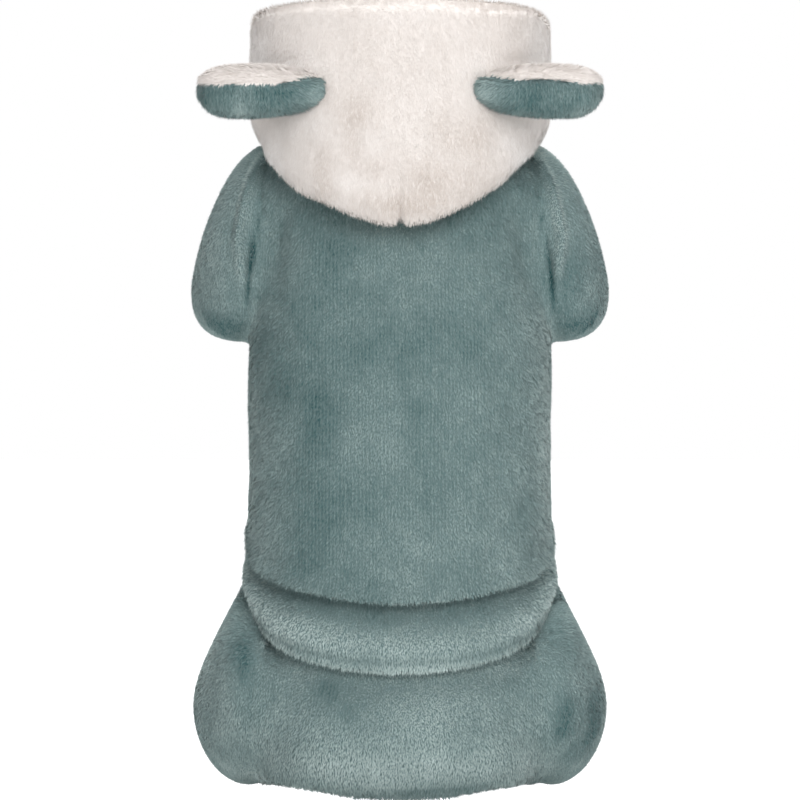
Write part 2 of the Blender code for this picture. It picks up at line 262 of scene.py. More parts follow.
def body_point(angle, down, out=0.0):
    """A point round and down the body, `out` metres outside its middle layer."""
    share = down / BODY_LENGTH
    width, back, belly = section_at(share)
    across, along = round_section(angle, BODY_SQUARENESS)
    depth = BACK_DEPTH * back if along > 0 else BELLY_DEPTH * belly
    lift = TAIL_HEM_LIFT * math.sin(angle) ** 2 * max(share, 0.0) ** TAIL_HEM_POWER
    return Vector(
        ((BODY_HALF_WIDTH * width + out) * across, -(depth + out) * along, lift - down)
    )


# %% [markdown]
# ## Hems and folds
# The back panel hangs over the waist band, and the band over the seat, as flounces do. Each hem is a
# line round the body, and each layer stands a little outside the one below it.

# %% Hems and layers
def back_hem(angle):
    return BACK_HEM - BACK_HEM_RISE * (abs(angle) / (math.pi / 2)) ** BACK_HEM_POWER


def band_hem(angle):
    return BAND_HEM - BAND_HEM_RISE * (abs(angle) / (math.pi / 2)) ** BAND_HEM_POWER


TAIL_SIDE_LIFT = 2.6 * MM
TAIL_SIDE_START = 0.33
TAIL_SIDE_REACH = 0.45


def tail_hem(angle):
    across = abs(round_section(angle, BODY_SQUARENESS)[0])
    beside = smooth_step((across - TAIL_SIDE_START) / TAIL_SIDE_REACH)
    return BODY_LENGTH - TAIL_SIDE_LIFT * beside


def nothing(angle, down):
    """For a piece without folds, or without painted light lines."""
    return 0.0


# Folds of the back beside the armholes. Columns: angle (degrees), down (share of BODY_LENGTH), half
# width (degrees), half length (share of BODY_LENGTH), height (share of WALL)
BACK_FOLDS = (
    (62, 0.13, 7, 0.09, 0.6),
    (51, 0.15, 6, 0.08, -0.7),
    (-62, 0.13, 7, 0.09, 0.6),
    (-51, 0.16, 6, 0.08, -0.7),
)


HEM_ROLL = 2.0 * MM
HEM_ROLL_REACH = 12 * MM


def back_out(angle, down):
    past = down - back_hem(angle) + HEM_ROLL_REACH
    out = HEM_ROLL * smooth_step(past / HEM_ROLL_REACH)
    for centre, fold_down, half_width, half_length, height in BACK_FOLDS:
        across = (math.degrees(angle) - centre) / half_width
        along = (down / BODY_LENGTH - fold_down) / half_length
        out += height * WALL * math.exp(-across * across - along * along)
    return out


# The band bulges above its hem, turns in at the hem, and has a stitched crease just above it, which
# is deepest on the left
BAND_TUCK_REACH = 12 * MM
BAND_TURN, BAND_TURN_REACH = 1.0 * MM, 8 * MM
BAND_BULGE, BAND_BULGE_UP, BAND_BULGE_WIDTH = 4.0 * MM, 12 * MM, 10 * MM
BAND_CREASE, BAND_CREASE_UP, BAND_CREASE_WIDTH = 1.0 * MM, 5.5 * MM, 1.6 * MM
BAND_CREASE_EVEN, BAND_CREASE_LEFT = 0.5, 0.9
BAND_CREASE_ANGLE, BAND_CREASE_SPAN = -48, 30


def band_out(angle, down):
    past_hem = down - back_hem(angle) - SEAM_GAP
    tucked = -(WALL + LAYER_GAP) * (1 - smooth_step(past_hem / BAND_TUCK_REACH))
    to_hem = band_hem(angle) - down
    turn = BAND_TURN * smooth_step((BAND_TURN_REACH - to_hem) / BAND_TURN_REACH)
    bulge = BAND_BULGE * bump(to_hem - BAND_BULGE_UP, BAND_BULGE_WIDTH)
    left = bump(math.degrees(angle) - BAND_CREASE_ANGLE, BAND_CREASE_SPAN)
    crease = BAND_CREASE_EVEN + BAND_CREASE_LEFT * left
    crease *= BAND_CREASE * bump(to_hem - BAND_CREASE_UP, BAND_CREASE_WIDTH)
    return tucked + bulge - turn - crease


# The seat bulges in its middle, and its turned hem has a crease on the right of the middle
SEAT_TUCK_REACH = 20 * MM
SEAT_BULGE, SEAT_BULGE_DOWN, SEAT_BULGE_WIDTH = 4.0 * MM, 296 * MM, 17 * MM
SEAT_BULGE_SPAN = 42
SEAT_CREASE, SEAT_CREASE_UP, SEAT_CREASE_WIDTH = 0.9 * MM, 6 * MM, 1.5 * MM
SEAT_CREASE_ANGLE, SEAT_CREASE_SPAN = 22, 20


def seat_out(angle, down):
    hem = band_hem(angle)
    under = band_out(angle, min(down, hem)) - WALL - LAYER_GAP
    under *= 1 - smooth_step((down - hem - SEAM_GAP) / SEAT_TUCK_REACH)
    turned = math.degrees(angle)
    middle = math.exp(-((turned / SEAT_BULGE_SPAN) ** 4))
    bulge = SEAT_BULGE * middle * bump(down - SEAT_BULGE_DOWN, SEAT_BULGE_WIDTH)
    right = bump(turned - SEAT_CREASE_ANGLE, SEAT_CREASE_SPAN)
    above = tail_hem(angle) - down - SEAT_CREASE_UP
    return under + bulge - SEAT_CREASE * right * bump(above, SEAT_CREASE_WIDTH)


# %% The hood's surface
HOOD_SOFTNESS = 1.1 * MM


WIDE_WAVES, WIDE_START = 28, Vector((3.1, 7.7, 1.3))
FINE_WAVES, FINE_START = 75, Vector((9.2, 0.4, 5.5))
FINE_SHARE = 0.45


def softness(point, amount):
    """Gentle unevenness of soft cloth, along its outward direction."""
    wide = noise.noise(point * WIDE_WAVES + WIDE_START)
    fine = noise.noise(point * FINE_WAVES + FINE_START)
    return amount * (wide + FINE_SHARE * fine)


# Over the shoulders the pouch's edge hangs a little lower. Shares of the hood's half width
SHOULDER_DROP_LEFT = 6.0 * MM
SHOULDER_DROP_RIGHT = 2.5 * MM
SHOULDER_START, SHOULDER_REACH = 0.4, 0.4
SHOULDER_END, SHOULDER_END_REACH = 0.94, 0.06


def rim_height(angle):
    """The rim slopes from the crown at the back to the throat at the front."""
    lowered = (abs(angle) / math.pi) ** RIM_POWER
    return THROAT_HEIGHT + (HOOD_HEIGHT - THROAT_HEIGHT) * (1 - lowered)


def pouch_drop(angle):
    """How far the pouch hangs below the neck."""
    if abs(angle) >= math.pi / 2:
        return 0.0
    across, _ = round_section(angle, HOOD_SQUARENESS)
    beside = smooth_step((abs(across) - SHOULDER_START) / SHOULDER_REACH)
    beside *= 1 - smooth_step((abs(across) - SHOULDER_END) / SHOULDER_END_REACH)
    lower = SHOULDER_DROP_LEFT if across < 0 else SHOULDER_DROP_RIGHT
    return POUCH_DEPTH * (1 - abs(across) ** POUCH_POWER) + lower * beside


HOOD_TAPER = 0.04
HOOD_TAPER_HEIGHT = 26 * MM
HOOD_TAPER_ROWS = 6
NOTCH_HEIGHT = 2.2 * MM
NOTCH_WIDTH = 2.2 * MM
NOTCH_ROW, NOTCH_ROWS = 4.2, 1.6
HOOD_SEAM_DEPTH = 1.0 * MM
HOOD_SEAM_WIDTH = 1.3 * MM
HOOD_SEAM_START, HOOD_SEAM_REACH = 6 * MM, 20 * MM
EAR_DENT_DEPTH = 1.2 * MM
EAR_DENT_HEIGHT, EAR_DENT_WIDTH = 44 * MM, 4 * MM
EAR_DENT_OUT, EAR_DENT_OUT_REACH = 44 * MM, 14 * MM
EAR_DENT_BACK, EAR_DENT_BACK_REACH = 22 * MM, 26 * MM
NORMAL_STEP = 0.01


def hood_point(angle, position):
    reach, drop, rise = row_at(HOOD_PROFILE, position)
    neck = body_point(angle, 0.0)
    across, along = round_section(angle, HOOD_SQUARENESS)
    depth = HOOD_BACK_DEPTH if along > 0 else HOOD_FRONT_DEPTH
    wall = Vector((HOOD_HALF_WIDTH * across, -depth * along, 0.0))
    point = neck.lerp(wall, reach)
    point.z = rise * rim_height(angle) - drop * pouch_drop(angle)
    low = 1 - smooth_step(point.z / HOOD_TAPER_HEIGHT)
    point.x *= 1 - HOOD_TAPER * low * smooth_step(position / HOOD_TAPER_ROWS)
    return point


def hood_at(angle, position, inset):
    """A point `inset` metres inside the hood's outer surface."""
    here = hood_point(angle, position)
    last = len(HOOD_PROFILE) - 1
    along = hood_point(angle, min(position + NORMAL_STEP, last))
    along -= hood_point(angle, max(position - NORMAL_STEP, 0))
    around = hood_point(angle + NORMAL_STEP, position)
    around -= hood_point(angle - NORMAL_STEP, position)
    inwards = along.cross(around).normalized()
    fold = bump(position - NOTCH_ROW, NOTCH_ROWS)
    here.z += NOTCH_HEIGHT * fold * bump(here.x, NOTCH_WIDTH)
    low = smooth_step((-here.z - HOOD_SEAM_START) / HOOD_SEAM_REACH) if here.y < 0 else 0.0
    sunk = HOOD_SEAM_DEPTH * low * bump(here.x, HOOD_SEAM_WIDTH)
    above_ear = bump(here.z - EAR_DENT_HEIGHT, EAR_DENT_WIDTH)
    above_ear *= smooth_step((abs(here.x) - EAR_DENT_OUT) / EAR_DENT_OUT_REACH)
    above_ear *= smooth_step((-here.y - EAR_DENT_BACK) / EAR_DENT_BACK_REACH)
    uneven = softness(here, HOOD_SOFTNESS) - sunk - EAR_DENT_DEPTH * above_ear
    return here + (inset - uneven) * inwards


# %% The legs' rings
LEG_ROUND_STEPS = 72
LEG_STEPS = 44


def leg_ring(leg, side, position, inset):
    """One ring of points round a bent leg."""
    out, forward, drop, turn, width, height = row_at(leg["sections"], position)
    yaw = math.radians(turn)
    level = Vector((-math.sin(yaw), math.cos(yaw), 0.0))
    centre = Vector(
        (BODY_HALF_WIDTH * out, leg["forward"] * forward, -leg["down"] - leg["drop"] * drop)
    )
    half_width = leg["half_width"] * width - inset
    half_height = leg["half_height"] * height - inset
    ring = []
    for step in range(LEG_ROUND_STEPS):
        angle = math.tau * step / LEG_ROUND_STEPS
        under = math.sin(angle) < 0
        high, across = round_section(angle, leg["under_squareness"] if under else 2.0)
        point = centre + level * (half_width * across)
        point.z += half_height * high * (leg["under_height"] if under else 1.0)
        point.x -= leg["slope"] * max(high, 0.0) ** 2
        point.x *= side
        ring.append(point)
    return ring


# %% [markdown]
# ## Colours and a shader for stroked plush, with painted shade
# Plush pile looks streaky because its fibres lie in tufts, and mottled because a hand has stroked it
# this way and that. A shader group makes both from the object's own coordinates, so the pattern
# stays on the cloth, and each material gives it its own dark and light colour. The group also adds
# the pile's tint, which carries painted light and shade, and paints shade at the fibres' roots.

# %% Shader group for stroked plush, with painted shade at the roots
def node(tree, kind, **settings):
    made = tree.nodes.new(kind)
    for name, value in settings.items():
        setattr(made, name, value)
    return made


def brushed_plush_group():
    tree = bpy.data.node_groups.new("brushed plush", "ShaderNodeTree")
    face = tree.interface
    for name, kind, value in (
        ("Dark", "NodeSocketColor", (0.1, 0.1, 0.1, 1)),
        ("Light", "NodeSocketColor", (0.5, 0.5, 0.5, 1)),
        ("Root", "NodeSocketColor", (0.1, 0.1, 0.1, 1)),
        ("Mottle", "NodeSocketFloat", 0.35),
        ("Streak", "NodeSocketFloat", 0.3),
    ):
        socket = face.new_socket(name=name, in_out="INPUT", socket_type=kind)
        socket.default_value = value
    face.new_socket(name="Colour", in_out="OUTPUT", socket_type="NodeSocketColor")
    inputs = node(tree, "NodeGroupInput")
    output = node(tree, "NodeGroupOutput")
    link = tree.links.new

    place = node(tree, "ShaderNodeTexCoord")
    patches = node(tree, "ShaderNodeTexNoise", noise_dimensions="3D")
    patches.inputs["Scale"].default_value = 22.0
    patches.inputs["Detail"].default_value = 4.0
    patches.inputs["Roughness"].default_value = 0.62
    link(place.outputs["Object"], patches.inputs["Vector"])
    stretch = node(tree, "ShaderNodeMapping")
    stretch.inputs["Scale"].default_value = (420.0, 420.0, 130.0)
    link(place.outputs["Object"], stretch.inputs["Vector"])
    streaks = node(tree, "ShaderNodeTexNoise", noise_dimensions="3D")
    streaks.inputs["Scale"].default_value = 1.0
    streaks.inputs["Detail"].default_value = 2.0
    link(stretch.outputs["Vector"], streaks.inputs["Vector"])
    tint = node(tree, "ShaderNodeAttribute", attribute_name="tint")
    along = node(tree, "ShaderNodeAttribute", attribute_name="along")

    def scaled(value, amount):
        centred = node(tree, "ShaderNodeMath", operation="SUBTRACT")
        link(value, centred.inputs[0])
        centred.inputs[1].default_value = 0.5
        times = node(tree, "ShaderNodeMath", operation="MULTIPLY")
        link(centred.outputs[0], times.inputs[0])
        link(amount, times.inputs[1])
        return times.outputs[0]

    def total(first, second):
        added = node(tree, "ShaderNodeMath", operation="ADD")
        for socket, value in zip(added.inputs, (first, second)):
            if isinstance(value, float):
                socket.default_value = value
            else:
                link(value, socket)
        return added.outputs[0]

    # The tint holds random tone, the knit's rows, and the painted light and shade of patches and
    # lines
    share = total(scaled(patches.outputs["Fac"], inputs.outputs["Mottle"]), 0.5)
    share = total(share, scaled(streaks.outputs["Fac"], inputs.outputs["Streak"]))
    share = total(share, scaled(tint.outputs["Fac"], inputs.outputs["Streak"]))
    body = node(tree, "ShaderNodeMix", data_type="RGBA", clamp_factor=False)
    link(share, body.inputs["Factor"])
    link(inputs.outputs["Dark"], body.inputs["A"])
    link(inputs.outputs["Light"], body.inputs["B"])
    # Near its root each fibre turns to the Root colour. Where there are no fibres the whole surface
    # takes it: on the plush side that is painted shade under the pile, and on the backing its own
    # colour
    above_root = node(tree, "ShaderNodeMapRange")
    above_root.inputs["From Max"].default_value = 0.45
    link(along.outputs["Fac"], above_root.inputs["Value"])
    depth = node(tree, "ShaderNodeMix", data_type="RGBA")
    link(above_root.outputs["Result"], depth.inputs["Factor"])
    link(inputs.outputs["Root"], depth.inputs["A"])
    link(body.outputs["Result"], depth.inputs["B"])
    link(depth.outputs["Result"], output.inputs["Colour"])
    return tree


PLUSH_GROUP = brushed_plush_group()
print("shader group:", PLUSH_GROUP.name)


# %% Plush materials
def plush(name, dark, light, root, mottle, streak, sheen):
    material = bpy.data.materials.new(name)
    material.use_nodes = True
    tree = material.node_tree
    shader = tree.nodes["Principled BSDF"]
    shader.inputs["Roughness"].default_value = 0.95
    shader.inputs["Specular IOR Level"].default_value = 0.15
    shader.inputs["Sheen Weight"].default_value = sheen
    shader.inputs["Sheen Roughness"].default_value = 0.5
    group = node(tree, "ShaderNodeGroup", node_tree=PLUSH_GROUP)
    group.inputs["Dark"].default_value = (*dark, 1)
    group.inputs["Light"].default_value = (*light, 1)
    group.inputs["Root"].default_value = (*root, 1)
    group.inputs["Mottle"].default_value = mottle
    group.inputs["Streak"].default_value = streak
    tree.links.new(group.outputs["Colour"], shader.inputs["Base Color"])
    return material


# The third colour of each pile is painted shade at the fibres' roots and on the cloth under them; the
# backings' third colour is their own plain colour
TEAL_PILE = plush(
    "teal pile", (0.085, 0.165, 0.167), (0.37, 0.47, 0.46), (0.15, 0.225, 0.227), 1.8, 0.42, 0.25
)
CREAM_PILE = plush(
    "cream pile", (0.74, 0.68, 0.635), (0.93, 0.89, 0.86), (0.85, 0.8, 0.765), 1.5, 0.45, 0.45
)
EAR_CREAM_PILE = plush(
    "ear cream pile", (0.72, 0.665, 0.63), (0.93, 0.885, 0.855), (0.8, 0.76, 0.72), 1.2, 0.4, 0.3
)
TEAL_BACKING = plush(
    "teal backing", (0.15, 0.21, 0.215), (0.24, 0.32, 0.325), (0.2, 0.27, 0.27), 0.8, 0.6, 0.1
)
CREAM_BACKING = plush(
    "cream backing", (0.72, 0.67, 0.62), (0.85, 0.81, 0.77), (0.8, 0.75, 0.7), 0.6, 0.5, 0.1
)
print("materials:", [m.name for m in bpy.data.materials])

# %% [markdown]
# ## Cloth with two faces
# Each cut piece of cloth is a thin wall between rows of points on its outer and its inner side. The
# outer side and the lower hem take the first material, where pile will grow, and the rest takes the
# knitted backing.

# %% Cloth between two surfaces
GARMENT = bpy.data.collections.new("garment")
bpy.context.scene.collection.children.link(GARMENT)
PLUSH_SLOT, BACKING_SLOT = 0, 1
SHARP_ANGLE = math.radians(55)


def new_piece(name, surface, materials):
    mesh = bpy.data.meshes.new(name)
    surface.to_mesh(mesh)
    surface.free()
    mesh.shade_smooth()
    mesh.set_sharp_from_angle(angle=SHARP_ANGLE)
    for material in materials:
        mesh.materials.append(material)
    piece = bpy.data.objects.new(name, mesh)
    GARMENT.objects.link(piece)
    return piece


def cloth_between(name, outer_rows, inner_rows, marks, closed, materials):
    """Cloth between two surfaces. Each mark holds, for a point of the rows, the places around and
    down the weave, how long the pile is there, how far it stands up, and how much lighter or darker
    it is painted, for stroked pile and for painted light and shade."""
    surface = bmesh.new()
    weave = surface.loops.layers.uv.new("weave")
    tufts = surface.loops.layers.uv.new("tufts")
    brushing_and_painted_light = surface.loops.layers.uv.new("brushing_and_painted_light")
    # How far the weave goes once round a closed piece
    wrap = (marks[0][-1][0] - marks[0][0][0]) if closed else 0.0
    wrap += wrap / (len(marks[0]) - 1)
    outer = [[surface.verts.new(point) for point in row] for row in outer_rows]
    inner = [[surface.verts.new(point) for point in row] for row in inner_rows]
    count = len(outer[0])
    spans = count if closed else count - 1

    places = {}
    for lines in (outer, inner):
        for line, line_marks in zip(lines, marks):
            places.update(zip(line, line_marks))

    def face(slot, *corners):
        made = surface.faces.new(corners)
        made.material_index = slot
        arounds = [places[corner][0] for corner in corners]
        for loop, around in zip(made.loops, arounds):
            _, down, length, stand, light = places[loop.vert]
            if wrap and max(arounds) - around > abs(wrap) / 2:
                around += abs(wrap)
            loop[weave].uv = (around, down)
            loop[tufts].uv = (length, stand)
            loop[brushing_and_painted_light].uv = (light, 0.0)

    for lines, slot in ((outer, PLUSH_SLOT), (inner, BACKING_SLOT)):
        for upper, lower in zip(lines, lines[1:]):
            for i in range(spans):
                j = (i + 1) % count
                corners = (upper[i], lower[i], lower[j], upper[j])
                face(slot, *(corners if slot == PLUSH_SLOT else reversed(corners)))
    for row, slot in ((0, BACKING_SLOT), (-1, PLUSH_SLOT)):
        for i in range(spans):
            j = (i + 1) % count
            face(slot, outer[row][i], outer[row][j], inner[row][j], inner[row][i])
    if not closed:
        for side in (0, -1):
            for row in range(len(outer) - 1):
                face(
                    BACKING_SLOT,
                    outer[row][side],
                    outer[row + 1][side],
                    inner[row + 1][side],
                    inner[row][side],
                )
    bmesh.ops.recalc_face_normals(surface, faces=surface.faces)
    return new_piece(name, surface, materials)


def closed_loft(name, rings):
    surface = bmesh.new()
    lines = [[surface.verts.new(point) for point in ring] for ring in rings]
    count = len(lines[0])
    for upper, lower in zip(lines, lines[1:]):
        for i in range(count):
            j = (i + 1) % count
            surface.faces.new((upper[i], lower[i], lower[j], upper[j]))
    for line in (lines[0], lines[-1]):
        middle = surface.verts.new(sum((vert.co for vert in line), Vector()) / len(line))
        for first, second in zip(line, line[1:] + line[:1]):
            surface.faces.new((first, second, middle))
    for each in surface.faces:
        each.material_index = BACKING_SLOT
    bmesh.ops.recalc_face_normals(surface, faces=surface.faces)
    return new_piece(name, surface, ())


def cut(piece, cutter):
    """Takes a solid away from a piece, once `applied` is called."""
    difference = piece.modifiers.new("cut", "BOOLEAN")
    difference.operation = "DIFFERENCE"
    difference.solver = "EXACT"
    difference.object = cutter


def applied(piece):
    """Replaces a piece's mesh with the result of its modifiers."""
    graph = bpy.context.evaluated_depsgraph_get()
    mesh = bpy.data.meshes.new_from_object(piece.evaluated_get(graph))
    piece.modifiers.clear()
    piece.data = mesh
    mesh.name = piece.name
    return piece


# %% [markdown]
# ## The body
# Four cut pieces make the body tube: the long back, the waist band, the seat and the belly.

# %% Pile stroked up or down, with painted light and shade
# Soft patches painted lighter or darker on the pile. Some stand for pile stroked up, which looks
# light, or laid down, which looks dark. Others are painted shade under the sleeves and at the ends
# of the band, and painted light on the band, the seat and the hips where they are lit. Columns:
# across and down from the neck (mm), half width and half height (mm), and how light
BRUSHING_AND_PAINTED_LIGHT = (
    (18, 287, 42, 19, 1.1),
    (-6, 308, 62, 9, 1.7),
    (0, 288, 60, 22, 0.5),
    (0, 259, 40, 6, 1.0),
    (46, 260, 10, 7, 0.9),
    (-62, 296, 12, 26, 0.6),
    (-52, 262, 10, 6, 0.5),
    (-42, 88, 13, 22, -0.9),
    (-41, 148, 11, 18, -0.9),
    (32, 148, 12, 22, -0.45),
    (-30, 302, 18, 14, 0.6),
    (52, 290, 14, 20, 0.5),
    (-36, 269, 7, 7, -1.1),
    (-26, 282, 8, 5, -0.8),
    (-8, 287, 8, 4, -0.6),
    (-76, 254, 7, 13, -1.5),
    (-70, 280, 7, 9, -0.4),
    (80, 283, 6, 9, -1.2),
    (97, 287, 6, 18, -1.0),
    (-88, 275, 14, 26, 0.9),
    (72, 240, 9, 12, -0.6),
    (-15, 65, 14, 16, -0.35),
    (62, 150, 10, 40, 0.45),
    (-66, 150, 8, 60, -0.2),
    (-92, 60, 9, 26, 0.3),
    (92, 60, 10, 26, 0.15),
    (-42, -26, 7, 9, 1.4),
    (-80, -19, 4, 6, 1.2),
    (-64, -28, 8, 6, -0.5),
    (42, -28, 6, 8, 1.0),
    (66, -28, 9, 8, -0.8),
    (90, -19, 6, 4, 1.0),
    (-78, 16, 10, 14, 0.6),
    (78, 16, 10, 14, 0.6),
    (-90, 90, 14, 8, -1.2),
    (92, 90, 14, 8, -1.2),
    (-66, 200, 8, 30, 0.3),
    (-70, 82, 9, 12, 0.8),
    (73, 90, 5, 8, 0.8),
    (64, 250, 8, 8, 1.3),
    (54, 258, 9, 7, 0.9),
    (-66, 249, 6, 6, 1.2),
    (-97, 250, 5, 10, 0.9),
    (-42, 110, 18, 70, -0.3),
    (-46, 200, 20, 26, -0.4),
    (34, 112, 30, 16, 0.4),
    (12, 233, 40, 10, 0.6),
    (-60, 285, 13, 14, 0.45),
    (-22, 286, 12, 8, 0.5),
    (25, 272, 30, 8, 0.4),
    (-4, 316, 18, 4, 1.0),
    (72, 160, 5, 60, 1.0),
    (-97, 84, 6, 8, -0.8),
    (98, 84, 6, 10, -1.2),
)


# Painted light and shade along the band: painted highlights along its bulge and its rolled hem, and
# painted shade in its crease. Columns: up from its hem and width (mm), and how light
BAND_PAINTED_LINES = (
    (14, 7.5, 1.9),
    (2, 2.5, 1.1),
    (6.5, 2, -0.5),
)
# The back's hem casts a painted shadow on the band's top
BAND_TOP_PAINTED_SHADOW, BAND_TOP_UP, BAND_TOP_REACH = 0.4, 23 * MM, 6 * MM
# Painted shade in the crease of the turned tail hem
SEAT_LINE_PAINTED_SHADE, SEAT_LINE_UP, SEAT_LINE_WIDTH = 0.8, 5.5 * MM, 1.4 * MM
SEAT_LINE_ANGLE, SEAT_LINE_SPAN = 14, 24


def light_at(point, patches):
    """The sum of soft patches at a point."""
    total = 0.0
    for across, down, half_width, half_height, light in patches:
        x = (point.x / MM - across) / half_width
        z = (-point.z / MM - down) / half_height
        total += light * math.exp(-(x * x + z * z))
    return total


# The patches of stroked pile and of painted light and shade, on the back's side only
def brushing_and_painted_light_at(point):
    return light_at(point, BRUSHING_AND_PAINTED_LIGHT) if point.y < 0 else 0.0


def band_painted_light(angle, down):
    """Painted highlight along the band's middle, and painted shadow under the back's hem."""
    to_hem = band_hem(angle) - down
    lines = sum(light * bump(to_hem - up * MM, width * MM) for up, width, light in BAND_PAINTED_LINES)
    return lines - BAND_TOP_PAINTED_SHADOW * smooth_step((to_hem - BAND_TOP_UP) / BAND_TOP_REACH)


def seat_painted_shade(angle, down):
    """Painted shade in the turned tail hem's crease, on the right of the middle."""
    to_hem = tail_hem(angle) - down
    window = math.exp(-(((math.degrees(angle) - SEAT_LINE_ANGLE) / SEAT_LINE_SPAN) ** 4))
    return -SEAT_LINE_PAINTED_SHADE * window * bump(to_hem - SEAT_LINE_UP, SEAT_LINE_WIDTH)


# %% Body pieces
ROUND_STEPS = 120
ROW_LENGTH = 2.4 * MM
SEAT_ROW_LENGTH = 1.5 * MM
BELLY_STEPS = 72
BELLY_ROW_LENGTH = 5 * MM
TEAL_CLOTH = (TEAL_PILE, TEAL_BACKING)
HEM_FRINGE = 0.45
FRINGE_REACH = 4 * MM
FRINGE_BELOW = 1.2 * MM
BODY_SOFTNESS = 0.9 * MM


def body_piece(
    name, start, end, top, pile_hem, out, light=nothing, steps=ROUND_STEPS, row_length=ROW_LENGTH
):
    """One cut piece. Its cloth ends a little above the hem, where the fringe of pile ends."""

    def hem(angle):
        return pile_hem(angle) - FRINGE_BELOW

    rows = round((hem(0.0) - top(0.0)) / row_length)
    outer, inner, marks = [], [], []
    for row in range(rows + 1):
        outer.append([])
        inner.append([])
        marks.append([])
        for turn in range(steps + 1):
            angle = start + (end - start) * turn / steps
            down = top(angle) + (hem(angle) - top(angle)) * row / rows
            stands = out(angle, down)
            uneven = softness(body_point(angle, down), BODY_SOFTNESS)
            outer[-1].append(body_point(angle, down, stands + uneven - PILE_STAND))
            inner[-1].append(body_point(angle, down, stands + uneven - WALL))
            fringe = bump(hem(angle) - down, FRINGE_REACH)
            # Painted light and shade of the piece's lines, and the patches of stroked pile and
            # painted light and shade
            tone = light(angle, down) + brushing_and_painted_light_at(outer[-1][-1])
            length = 1 + HEM_FRINGE * fringe
            marks[-1].append((BODY_HALF_WIDTH * angle, down, length, 0.0, tone))
    return cloth_between(name, outer, inner, marks, False, TEAL_CLOTH)


HALF_GAP = SEAM_GAP / 2 / BODY_HALF_WIDTH
BACK_START, BACK_END = HALF_GAP - SIDE_SEAM, SIDE_SEAM - HALF_GAP
BODY = {
    "back_panel": body_piece(
        "back_cloth", BACK_START, BACK_END, lambda a: -PILE_STAND, back_hem, back_out
    ),
    "waist_band": body_piece(
        "waist_cloth",
        BACK_START,
        BACK_END,
        lambda a: back_hem(a) - TUCK,
        band_hem,
        band_out,
        band_painted_light,
    ),
    "seat_panel": body_piece(
        "seat_cloth",
        BACK_START,
        BACK_END,
        lambda a: band_hem(a) - TUCK,
        tail_hem,
        seat_out,
        seat_painted_shade,
        row_length=SEAT_ROW_LENGTH,
    ),
    "belly_panel": body_piece(
        "belly_cloth",
        SIDE_SEAM + HALF_GAP,
        math.tau - SIDE_SEAM - HALF_GAP,
        lambda a: -PILE_STAND,
        tail_hem,
        nothing,
        steps=BELLY_STEPS,
        row_length=BELLY_ROW_LENGTH,
    ),
}
print("body pieces:", {name: len(piece.data.polygons) for name, piece in BODY.items()})

# %% [markdown]
# ## The legs
# Each leg is a bent tube. It ends at the body, and its bore opens the body's cloth.

# %% Leg pieces
BODY_SOLID_ROWS = 100
CUFF_FRINGE_ROWS = 1.5


def outermost(angle, down):
    """How far the outermost layer stands out."""
    if abs(angle) > SIDE_SEAM:
        return 0.0
    outs = [seat_out(angle, down)]
    if down < band_hem(angle) + WALL:
        outs.append(band_out(angle, down))
    if down < back_hem(angle) + WALL:
        outs.append(back_out(angle, down))
    return max(outs)


def body_cutter(stand):
    """The whole body as one solid."""
    turns = [math.tau * i / ROUND_STEPS - math.pi for i in range(ROUND_STEPS)]
    rings = []
    for step in range(BODY_SOLID_ROWS + 1):
        down = BODY_LENGTH * step / BODY_SOLID_ROWS
        rings.append([body_point(a, down, outermost(a, down) + stand) for a in turns])
    return closed_loft("body_cutter", rings)


def leg_marks(leg, position, ring):
    around = leg["half_height"] * math.tau / LEG_ROUND_STEPS
    fringe = smooth_step(position - len(leg["sections"]) + CUFF_FRINGE_ROWS)
    reach = leg["forward"] * position / len(leg["sections"])
    length = 1 + HEM_FRINGE * fringe
    # The legs take the patches of stroked pile and painted light and shade too
    return [
        (around * step, reach, length, 0.0, brushing_and_painted_light_at(point)) for step, point in enumerate(ring)
    ]


def solid_tree(solid):
    graph = bpy.context.evaluated_depsgraph_get()
    return BVHTree.FromObject(solid, graph)


LEGS = {}
SOLIDS = {}
CUTTER = body_cutter(-WALL / 2)
WHOLE_BODY = body_cutter(-PILE_STAND)
SOLIDS["body"] = solid_tree(WHOLE_BODY)
for leg, name, panels in (
    (FRONT_LEG, "front_sleeve", ("back_panel", "belly_panel")),
    (HIND_LEG, "hind_leg", ("seat_panel", "belly_panel")),
):
    last = len(leg["sections"]) - 1
    positions = [last * step / LEG_STEPS for step in range(LEG_STEPS + 1)]
    for side, side_name in ((-1, "left"), (1, "right")):
        outer = [leg_ring(leg, side, position, PILE_STAND) for position in positions]
        inner = [leg_ring(leg, side, position, WALL) for position in positions]
        marks = [leg_marks(leg, position, ring) for position, ring in zip(positions, outer)]
        node_name = f"{name}_{side_name}"
        LEGS[node_name] = cloth_between(f"{node_name}_cloth", outer, inner, marks, True, TEAL_CLOTH)
        cut(LEGS[node_name], CUTTER)
        bore = closed_loft(f"{node_name}_bore", inner)
        whole = closed_loft(f"{node_name}_whole", outer)
        SOLIDS[node_name] = solid_tree(whole)
        for panel in panels:
            cut(BODY[panel], bore)
for piece in (*BODY.values(), *LEGS.values()):
    applied(piece).data.set_sharp_from_angle(angle=SHARP_ANGLE)
for helper in [o for o in GARMENT.objects if not o.name.endswith("_cloth")]:
    bpy.data.objects.remove(helper)
print("leg pieces:", {name: len(piece.data.polygons) for name, piece in LEGS.items()})

# %% [markdown]
# ## Legs that flow into the body
# Where cloth passes from the body into a leg it makes a soft hollow and no sharp corner. Each point
# near such a corner is moved outwards until it lies on a smooth blend of the two solids. The hind
# legs blend widely. The sleeves keep a narrow groove and a raised seam.

